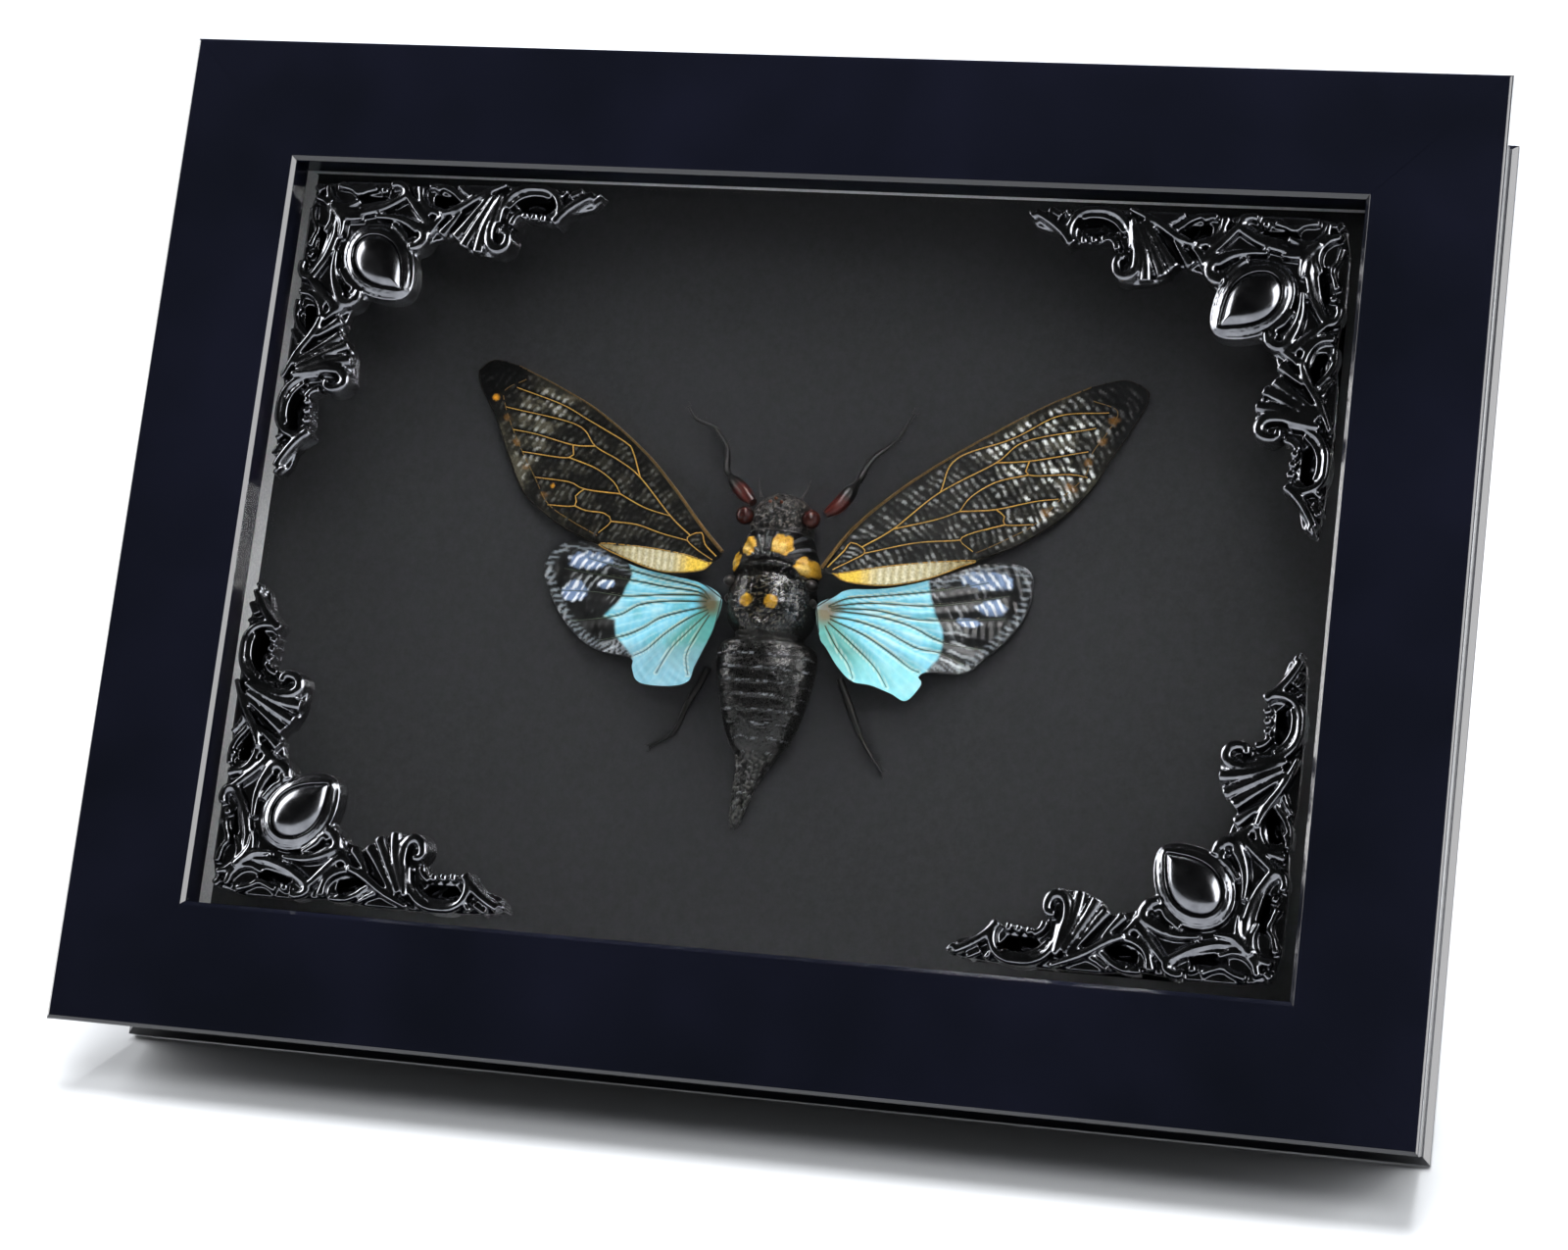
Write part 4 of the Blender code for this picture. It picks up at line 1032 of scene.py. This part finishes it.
def makeHindwing(spec, material):
    outline = smoothLine(spec["outline"], True, 0.35)
    veins = [smoothLine(line) for line in spec["veins"]]
    hub = np.array(spec["hub"])
    side = np.sign(hub[0])
    edge = np.array(spec["edge"])
    outside = np.vstack([edge, [(side * 60, -20), (side * 60, 8)]])

    def fields(places):
        out = places - hub
        reach = np.hypot(out[:, 0], out[:, 1])
        angle = np.arctan2(out[:, 1], out[:, 0] * side)
        gap = np.min([lineDistance(line, places) for line in veins], axis=0)
        return reach, angle, gap

    def folds(places):
        reach, angle, gap = fields(places)
        wave = waveOf((reach + angle * 3.0) / wing["foldPitch"])
        return 0.35 * ease(0.0, 1.6, gap) * ease(2, 9, reach) + 0.03 * wave * ease(0.3, 0.8, gap)

    sheet, places = membrane("hindwing", outline, hindDepth, folds)
    reach, angle, gap = fields(places)
    rimGap = rimDistance(outline, places)
    dark = insideOf(outside, places).astype(float)
    dark = np.where(dark > 0, 1.0, 1 - ease(0.0, 0.5, lineDistance(edge, places)))
    for across, up, radius in spec["spots"]:
        away = np.hypot(places[:, 0] - across, places[:, 1] - up)
        dark = np.maximum(dark, 1 - ease(radius * 0.7, radius, away))
    cloud = grainOf(places, 3.4, 9.0)
    wobble = grainOf(places, 1.8, 4.0) * 0.4
    ripple = 0.5 + 0.5 * waveOf((reach + angle * 3.0 + wobble) / wing["foldPitch"])
    tick = 0.5 + 0.5 * waveOf((reach * 0.75 + angle * 9.0 + wobble) / 1.05)
    fringe = 0.5 + 0.5 * waveOf(angle * 26.0 + reach * 0.25 + wobble)
    patch = np.zeros(len(places))
    for across, up, wide, tall in spec["patches"]:
        spread = ((places[:, 0] - across) / wide) ** 2 + ((places[:, 1] - up) / tall) ** 2
        patch = np.maximum(patch, 1 - ease(0.6, 1.1, spread + 0.7 * grainOf(places, 0.9, 6.0)))
    near, far, low, high = spec["streaks"]
    streak = ease(0.55, 0.9, waveOf(angle * 13 + 0.25 * grainOf(places, 2.0, 8.0)))
    streak *= ease(near, near + 2, reach) * (1 - ease(far - 4, far, reach))
    streak *= ease(low, low + 0.1, angle) * (1 - ease(high - 0.1, high, angle)) * ease(-0.2, 0.1, cloud)
    anal = ease(0.50, 0.95, -angle) * (1 - ease(9, 13, reach))
    lobe = ease(10.8, 13.2, -places[:, 1]) * (1 - ease(23, 26, np.abs(places[:, 0])))
    ticks = ease(0.60, 0.85, tick) * ease(0.15, 0.4, gap) * np.maximum(patch, 0.3 * ease(0, 0.4, cloud))
    fringes = ease(0.55, 0.85, fringe) * (1 - ease(1.2, 1.9, rimGap)) * ease(0.15, 0.4, rimGap)
    layers = [
        (ease(0.3, 1.4, gap) * 0.7, "#86D0E6"),
        (ripple * 0.22 * ease(0.3, 0.8, gap), "#B4E6E8"),
        # painted sheen: pale highlight patches over the turquoise where the noise is high
        (ease(0.1, 0.45, cloud) * 0.5 * ease(0.5, 1.2, gap), "#BFE6EA"),
        (ease(0.1, 0.45, -cloud) * 0.5, "#4FA3AC"),
        (1 - ease(0.12, 0.30, gap), "#1F6F78"),
        (ease(0.5, 0.95, waveOf(angle * 11 + 0.3 * wobble)) * ease(5, 10, reach) * 0.35, "#D2F2F4"),
        (anal * 0.85, "#3E8A7C"),
        (lobe * 0.65, spec["lobe"]),
        ((ease(0.18, 0.26, gap) - ease(0.34, 0.46, gap)) * 0.45 * ease(2, 7, reach), "#E6E8D2"),
        ((1 - ease(0.8, 3.0, reach + 0.8 * cloud)) * 0.9, "#5E4A22"),
        (dark, "#040506"),
        (dark * patch * 0.8, "#7088AC"),
        (dark * ticks, "#E6EBEF"),
        (dark * streak * 0.85, "#C9CFD2"),
        (dark * fringes * 0.6, "#8B949C"),
    ]
    paintVertices(sheet.data, layered("#6AC2DA", layers, len(places)))
    above = [[(x, y + 0.32) for x, y in line[1:]] for line in spec["veins"][:6]]
    tubes = [
        veinTubes(spec["veins"], "#37432F", hindDepth, 0.115, 0.06),
        veinTubes(above, "#C8C49A", hindDepth, 0.06, 0.05),
        veinTubes([spec["outline"] + spec["outline"][:1]], "#15171A", hindDepth, 0.10, 0.10),
    ]
    finishWing(sheet, tubes, material, "turquoise_wing", "hindwing", spec["side"])


def makeInsectWings():
    # forewing: dark smoky membrane that hardly shines; hindwing: chalky turquoise under a thin, broken gloss
    smoky = pigmented("smokyForewingMembrane", 0.40, 0.03, 0.35, shine=0.05)
    turquoise = pigmented("turquoiseHindwingMembrane", 0.36, 0.03, 0.9, shine=0.35, lowest=0.9)
    for spec in (foreLeft, foreRight):
        makeForewing(spec, smoky)
    for spec in (hindLeft, hindRight):
        makeHindwing(spec, turquoise)


makeInsectWings()
print("wings done")


# Body: one lofted skin from head to tail, stepped at the abdomen's rings, with eyes and wing knobs set in

body = {
    # up, half width, top depth, side shift
    "stations": [
        (13.3, 0.6, 15.6, 0.0), (12.9, 2.2, 14.0, 0.0), (12.0, 3.5, 12.4, 0.0), (10.6, 4.5, 11.0, 0.0),
        (9.0, 5.1, 10.4, 0.0), (7.6, 5.0, 10.6, 0.0), (6.6, 4.9, 11.0, 0.0), (6.0, 5.2, 10.4, 0.0),
        (4.4, 5.9, 9.7, 0.0), (2.2, 6.7, 9.4, 0.0), (0.8, 7.0, 9.6, 0.0), (-0.4, 6.6, 9.9, 0.0),
        (-1.4, 6.5, 9.3, 0.0), (-3.4, 7.0, 8.9, 0.0), (-5.6, 7.0, 9.0, 0.0), (-7.8, 6.6, 9.7, 0.0),
        (-9.4, 5.4, 10.6, 0.0), (-10.3, 5.6, 11.5, 0.0), (-11.0, 7.3, 11.2, 0.0), (-12.6, 7.9, 10.9, 0.0),
        (-16.0, 7.7, 11.1, 0.0), (-19.4, 7.0, 12.0, 0.0), (-23.0, 6.0, 13.3, -0.1), (-26.0, 4.8, 14.8, -0.3),
        (-28.2, 3.3, 16.0, -0.6), (-30.4, 2.4, 16.9, -1.2), (-33.4, 1.7, 17.7, -2.1),
        (-36.6, 1.2, 18.3, -2.7), (-39.0, 0.7, 18.8, -3.1), (-39.4, 0.2, 19.1, -3.1),
    ],
    "under": 19.7,
    "around": 170,
    "along": 300,
    "ringStart": -11.2,
    "ring": 2.1,
    "squareness": 0.86,  # below 1 the section is fuller than an ellipse
    "upperShare": 0.62,  # how much of the height lies above the widest line
    "spots": [(-3.4, 3.7, 1.15, 1.7), (1.4, 4.2, 1.2, 1.7), (2.5, 3.9, 1.2, 1.7), (-6.0, 1.5, 1.4, 1.6),
              (5.7, 1.1, 1.7, 1.6), (-2.6, -5.2, 1.1, 1.1), (1.4, -5.2, 1.15, 1.1)],
    "eye": (5.3, 8.8, 12.3, 1.5, "#34100A"),  # across, up, depth, radius, tone
    "knobs": [(6.5, -1.6, 12.9, 1.1, "#120B08"), (6.4, -4.2, 13.8, 1.0, "#150C08")],  # the wings' hinges
}


def ringPhase(across, up):
    # where a place lies between two of the abdomen's ring edges, which wander a little
    wander = 0.16 * noise.noise(Vector((across / 1.6, up / 2.0, 4.0)))
    return ((body["ringStart"] - up) / body["ring"] + wander) % 1.0


def makeBodySkin():
    stations = smoothLine(body["stations"], step=0.15)
    stations = stations[np.argsort(-stations[:, 0])]
    ups = np.linspace(body["stations"][0][0], body["stations"][-1][0], body["along"])
    width, top, shift = (np.interp(-ups, -stations[:, 0], stations[:, column]) for column in (1, 2, 3))
    shape = body["squareness"]
    rings = []
    for up, half, crest, off in zip(ups, width, top, shift):
        deep = body["under"] - crest
        upper = deep * body["upperShare"]
        for index in range(body["around"]):
            turn = 2 * math.pi * index / body["around"]
            side, rise = math.cos(turn), math.sin(turn)
            step = 0.0
            if up < body["ringStart"]:
                phase = ringPhase(side * half, up)
                ring = math.floor(up / body["ring"])
                rough = 0.6 + 0.9 * noise.noise(Vector((index * 0.13, ring * 3.1, 2.0)))
                step = 0.36 * rough * (phase - 0.5) * min(half / 5, 1) - (0.12 if phase > 0.9 else 0)
            x = off + (half + step * 0.6) * math.copysign(abs(side) ** shape, side)
            lifted = (upper + step) * max(rise, 0) ** shape - (deep - upper) * max(-rise, 0) ** shape
            rings.append((x, up, crest + upper - lifted))
    skin = np.array(rings)
    x, up, front = skin[:, 0], skin[:, 1], skin[:, 2] < 16.5
    relief = np.zeros(len(skin))
    # head granules and vertex bump, collar groove, ridges on the shield, raised cross behind the dome
    coarse, fine = noiseAt(skin / 0.55), noiseAt(skin / 0.25)
    head = ease(6.4, 7.4, up)
    tail = ease(26.5, 29, -up)
    relief += (0.55 * coarse + 0.22 * fine) * np.maximum(head, tail * 0.8)
    relief += 0.07 * fine + 0.05 * coarse
    wrinkle = grainOf(skin, (1.5, 0.8), 6.0)
    relief += 0.30 * wrinkle * ease(-10.4, -9.0, up) * (1 - 0.75 * hill(x / 4.5, (up + 4.2) / 3.6))
    relief += 0.7 * hill(x / 2.2, (up - 10.6) / 1.6)
    collar = 0.4 - 0.02 * x * x
    for height, above, wide in ((-0.5, 1.3, 0.25), (-0.7, -0.3, 0.3), (0.3, 0.5, 0.5)):
        relief += height * hill((up - collar - above) / wide) * front
    shield = ease(1.8, 2.6, up) * (1 - ease(6.0, 6.6, up))
    ridges = np.cos(np.arctan2(up - 0.5, x) * 22)
    relief += shield * 0.26 * ridges
    relief -= shield * 0.3 * hill(x / 0.25)
    for across, high, wide, tall in body["spots"]:
        relief += 0.22 * hill((x - across) / wide, (up - high) / tall)
    cross = np.minimum(abs(abs(x) - 1.08 * abs(up + 8.9) - 0.2), 9)
    relief += 0.55 * hill(cross / 0.45, (up + 8.9) / 1.5)
    for bend in (2.3, 4.6):
        relief -= 0.14 * hill((abs(x) - bend + 0.02 * (up + 2) ** 2) / 0.2, ((up + 4) / 3.2) ** 2)
    skin[:, 2] -= relief
    count, rows = body["around"], body["along"]
    faces = ringFaces(rows, count)
    faces.append(tuple(range(count - 1, -1, -1)))
    faces.append(tuple(range((rows - 1) * count, rows * count)))
    piece = addMesh("bodySkin", [insectPoint(*p) for p in skin], faces)
    cloud = grainOf(skin, 0.8, 3.0)
    hair = ease(0.05, 0.4, fine)
    dome = hill((x / 6.0) ** 2, ((up + 4.5) / 4.6) ** 2)
    phase = np.array([ringPhase(a, b) for a, b in skin[:, :2]])
    ring = np.floor((body["ringStart"] - up) / body["ring"])
    # noise that breaks the painted highlights along the ring edges into short glints
    streak = noiseAt(np.column_stack([x / 0.8, ring * 7.3, np.full(len(x), 0.5)]))
    belly = ease(10.8, 11.4, -up)
    layers = [
        (hair * (0.35 - 0.25 * belly), "#3A3630"),
        (head * ease(0.1, 0.45, fine) * 0.8, "#77706A"),
        (dome * hair * 0.22, "#7C7358"),
        # painted reflection: a cool blue-grey tint on the right side of the dome, where its shine falls
        (dome * ease(1.5, 5, x) * 0.12, "#4A6474"),
        # painted highlight: short pale glints along the abdomen's ring edges
        (belly * (phase > 0.80) * (phase < 0.95) * ease(0.05, 0.35, streak + 0.9 * fine) * 0.7, "#8B8F94"),
        (belly * ease(0.2, 0.5, fine) * 0.12, "#3C3C3E"),
        (tail * ease(-0.1, 0.3, coarse) * 0.6, "#5B5A58"),
        (shield * ease(0.2, 0.9, ridges) * 0.3, "#6C6F74"),
    ]
    for across, high, wide, tall in body["spots"]:
        inside = ((x - across) / wide) ** 2 + ((up - high) / tall) ** 2 + 0.5 * cloud
        layers.append(((1 - ease(0.7, 1.0, inside)) * front, "#CE9C30" if high > 0 else "#A87F1C"))
        # painted highlight: a paler patch set off-centre inside each upper spot
        inner = ((x - across + 0.35) / wide) ** 2 + ((up - high + 0.4) / tall) ** 2
        layers.append(((1 - ease(0.1, 0.4, inner)) * 0.5 * front * (high > 0), "#FBE08A"))
        layers.append(((1 - ease(0.9, 1.2, inside)) * ease(0.15, 0.5, cloud) * 0.5 * front, "#6B4415"))
    thorax = ease(-10.2, -9.0, up) * (1 - ease(6.2, 7.0, up))
    dull = 1 - 0.52 * thorax - 0.35 * belly * (1 - tail)
    paintVertices(piece.data, layered("#080706", layers, len(skin)), dull)
    smoothShade(piece, 80)
    return piece


def ballAt(across, up, depth, radius, tone, squash=(1, 1, 1)):
    clearSelection()
    place = insectPoint(across, up, depth)
    bpy.ops.mesh.primitive_ico_sphere_add(subdivisions=4, radius=radius * mm, location=place)
    ball = bpy.context.object
    bpy.ops.object.mode_set(mode="EDIT")
    bpy.ops.transform.resize(value=squash, center_override=ball.location)
    bpy.ops.object.mode_set(mode="OBJECT")
    smoothShade(ball, 80)
    paintVertices(ball.data, layered(tone, [], len(ball.data.vertices)))
    return ball


def makeBody():
    skin = makeBodySkin()
    parts = []
    shell = pigmented("grainyBlackShell", 0.42, 0.05, 0.22, shine=0.36)
    eyes = pigmented("polishedRedBrownEye", 0.10, 0.004, 0.3, shine=0.2)
    skin.data.materials.append(shell)
    for side in (-1, 1):
        across, up, depth, radius, tone = body["eye"]
        eye = ballAt(side * across, up, depth, radius, tone)
        eye.data.materials.append(eyes)
        parts.append(eye)
        for across, up, depth, radius, tone in body["knobs"]:
            knob = ballAt(side * across, up, depth, radius, tone, (1, 1.2, 0.8))
            knob.data.materials.append(shell)
            parts.append(knob)
    for across in (-0.9, 0.0, 0.9):
        bead = ballAt(across, 10.8 + 0.5 * (across == 0), 9.9 + abs(across) * 0.15, 0.3, "#5A2A18")
        bead.data.materials.append(eyes)
        parts.append(bead)
    feelers = tubeRun("feelers", [[(side * 3.2, 12.0, 12.8, 0.22), (side * 3.9, 13.6, 13.2, 0.1),
                                   (side * 4.2, 15.4, 13.8, 0.05)] for side in (-1, 1)], "#141110")
    feelers.data.materials.append(shell)
    pick(skin, *parts, feelers)
    bpy.ops.object.join()
    skin.name = "insect_body"
    seatPiece(skin, "frame", "insect_shell", "cicada_body")


makeBody()
print("body done")


# Legs: swollen thigh, shin and clawed foot as one jointed, spined limb

legs = {
    "foreleg_left": [(-4.6, 11.2, 13.4, 0.55), (-6.2, 12.6, 14.2, 0.95), (-8.4, 14.6, 15.2, 0.85),
                     (-9.6, 15.8, 16, 0.4), (-10.6, 17.2, 16.6, 0.45), (-11.3, 20.8, 18, 0.32),
                     (-13.2, 23.4, 18.6, 0.26), (-14.1, 24.3, 19, 0.24),
                     (-17.4, 25.6, 19, 0.2), (-18.9, 27.5, 19.1, 0.12)],
    "foreleg_right": [(7.3, 9.9, 13, 0.5), (8.9, 11.4, 13.6, 0.9), (10.2, 13.8, 14.8, 0.95),
                      (10.9, 15.6, 15.8, 0.45), (11.2, 16.9, 17, 0.45), (12.3, 20.1, 18, 0.34),
                      (15.8, 24.0, 19, 0.26), (18.1, 28.3, 19.2, 0.14)],
    "hindleg_left": [(-9.8, -14.6, 17.6, 0.5), (-11.2, -17.6, 18.2, 0.5), (-12.7, -20.2, 18.9, 0.42),
                     (-14.7, -25.0, 19.5, 0.3), (-18.4, -27.5, 19.7, 0.18)],
    "hindleg_right": [(11.6, -15.0, 17.6, 0.5), (13.2, -18.6, 18.2, 0.5), (14.6, -21.8, 18.9, 0.42),
                      (15.8, -24.0, 19.4, 0.3), (17.6, -26.6, 19.6, 0.24), (19.5, -28.6, 19.7, 0.16)],
}


def makeLeg(name, stops, material):
    random.seed(name)
    run = smoothLine([(a, b, c, r * 1.3) for a, b, c, r in stops], step=0.35)
    strokes = [[tuple(p) for p in run]]
    end, before = np.array(stops[-1]), np.array(stops[-2])
    heading = (end - before)[:2] / np.linalg.norm((end - before)[:2])
    normal = np.array((-heading[1], heading[0]))
    for side in (-1, 1):  # two claws
        tip = end[:2] + heading * 0.9 + normal * side * 0.6
        strokes.append([(end[0], end[1], end[2], 0.12), (*(end[:2] + normal * side * 0.45), end[2], 0.09),
                        (*tip, end[2], 0.03)])
    for index in range(8, len(run) - 4, 5):  # short spines all along the limb
        point, ahead = run[index], run[index + 1]
        along = (ahead - point)[:2] / max(np.linalg.norm((ahead - point)[:2]), 1e-6)
        out = np.array((-along[1], along[0])) * random.choice((-1, 1)) + along * 0.7
        tip = point[:2] + out * (point[3] + random.uniform(0.4, 0.9))
        strokes.append([(point[0], point[1], point[2], 0.12), (*tip, point[2] - 0.05, 0.04)])
    leg = tubeRun(name, strokes, "#100D0C", 3)
    places = np.array([v.co for v in leg.data.vertices]) / mm
    places[:, 0] -= placing["insectShift"]
    thigh = np.hypot(places[:, 0] - stops[1][0], places[:, 2] - stops[1][1])
    warm = (1 - ease(1.4, 2.6, thigh)) * ("fore" in name)
    pale = ease(0.25, 0.6, grainOf(places[:, [0, 2]], 0.5, 7.0)) * 0.35
    leg.data.color_attributes.remove(leg.data.color_attributes["pigment"])
    paintVertices(leg.data, layered("#080706", [(pale * 0.6, "#4E4A46"), (warm, "#43120C")], len(places)))
    leg.data.materials.append(material)
    seatPiece(leg, "frame", "insect_shell", name)
    leg.name = name.replace("leg", "limb")


def makeLegs():
    horn = pigmented("darkHornLeg", 0.3, 0.02, 0.3, shine=0.22)
    for name, stops in legs.items():
        makeLeg(name, stops, horn)


makeLegs()
print("legs done")
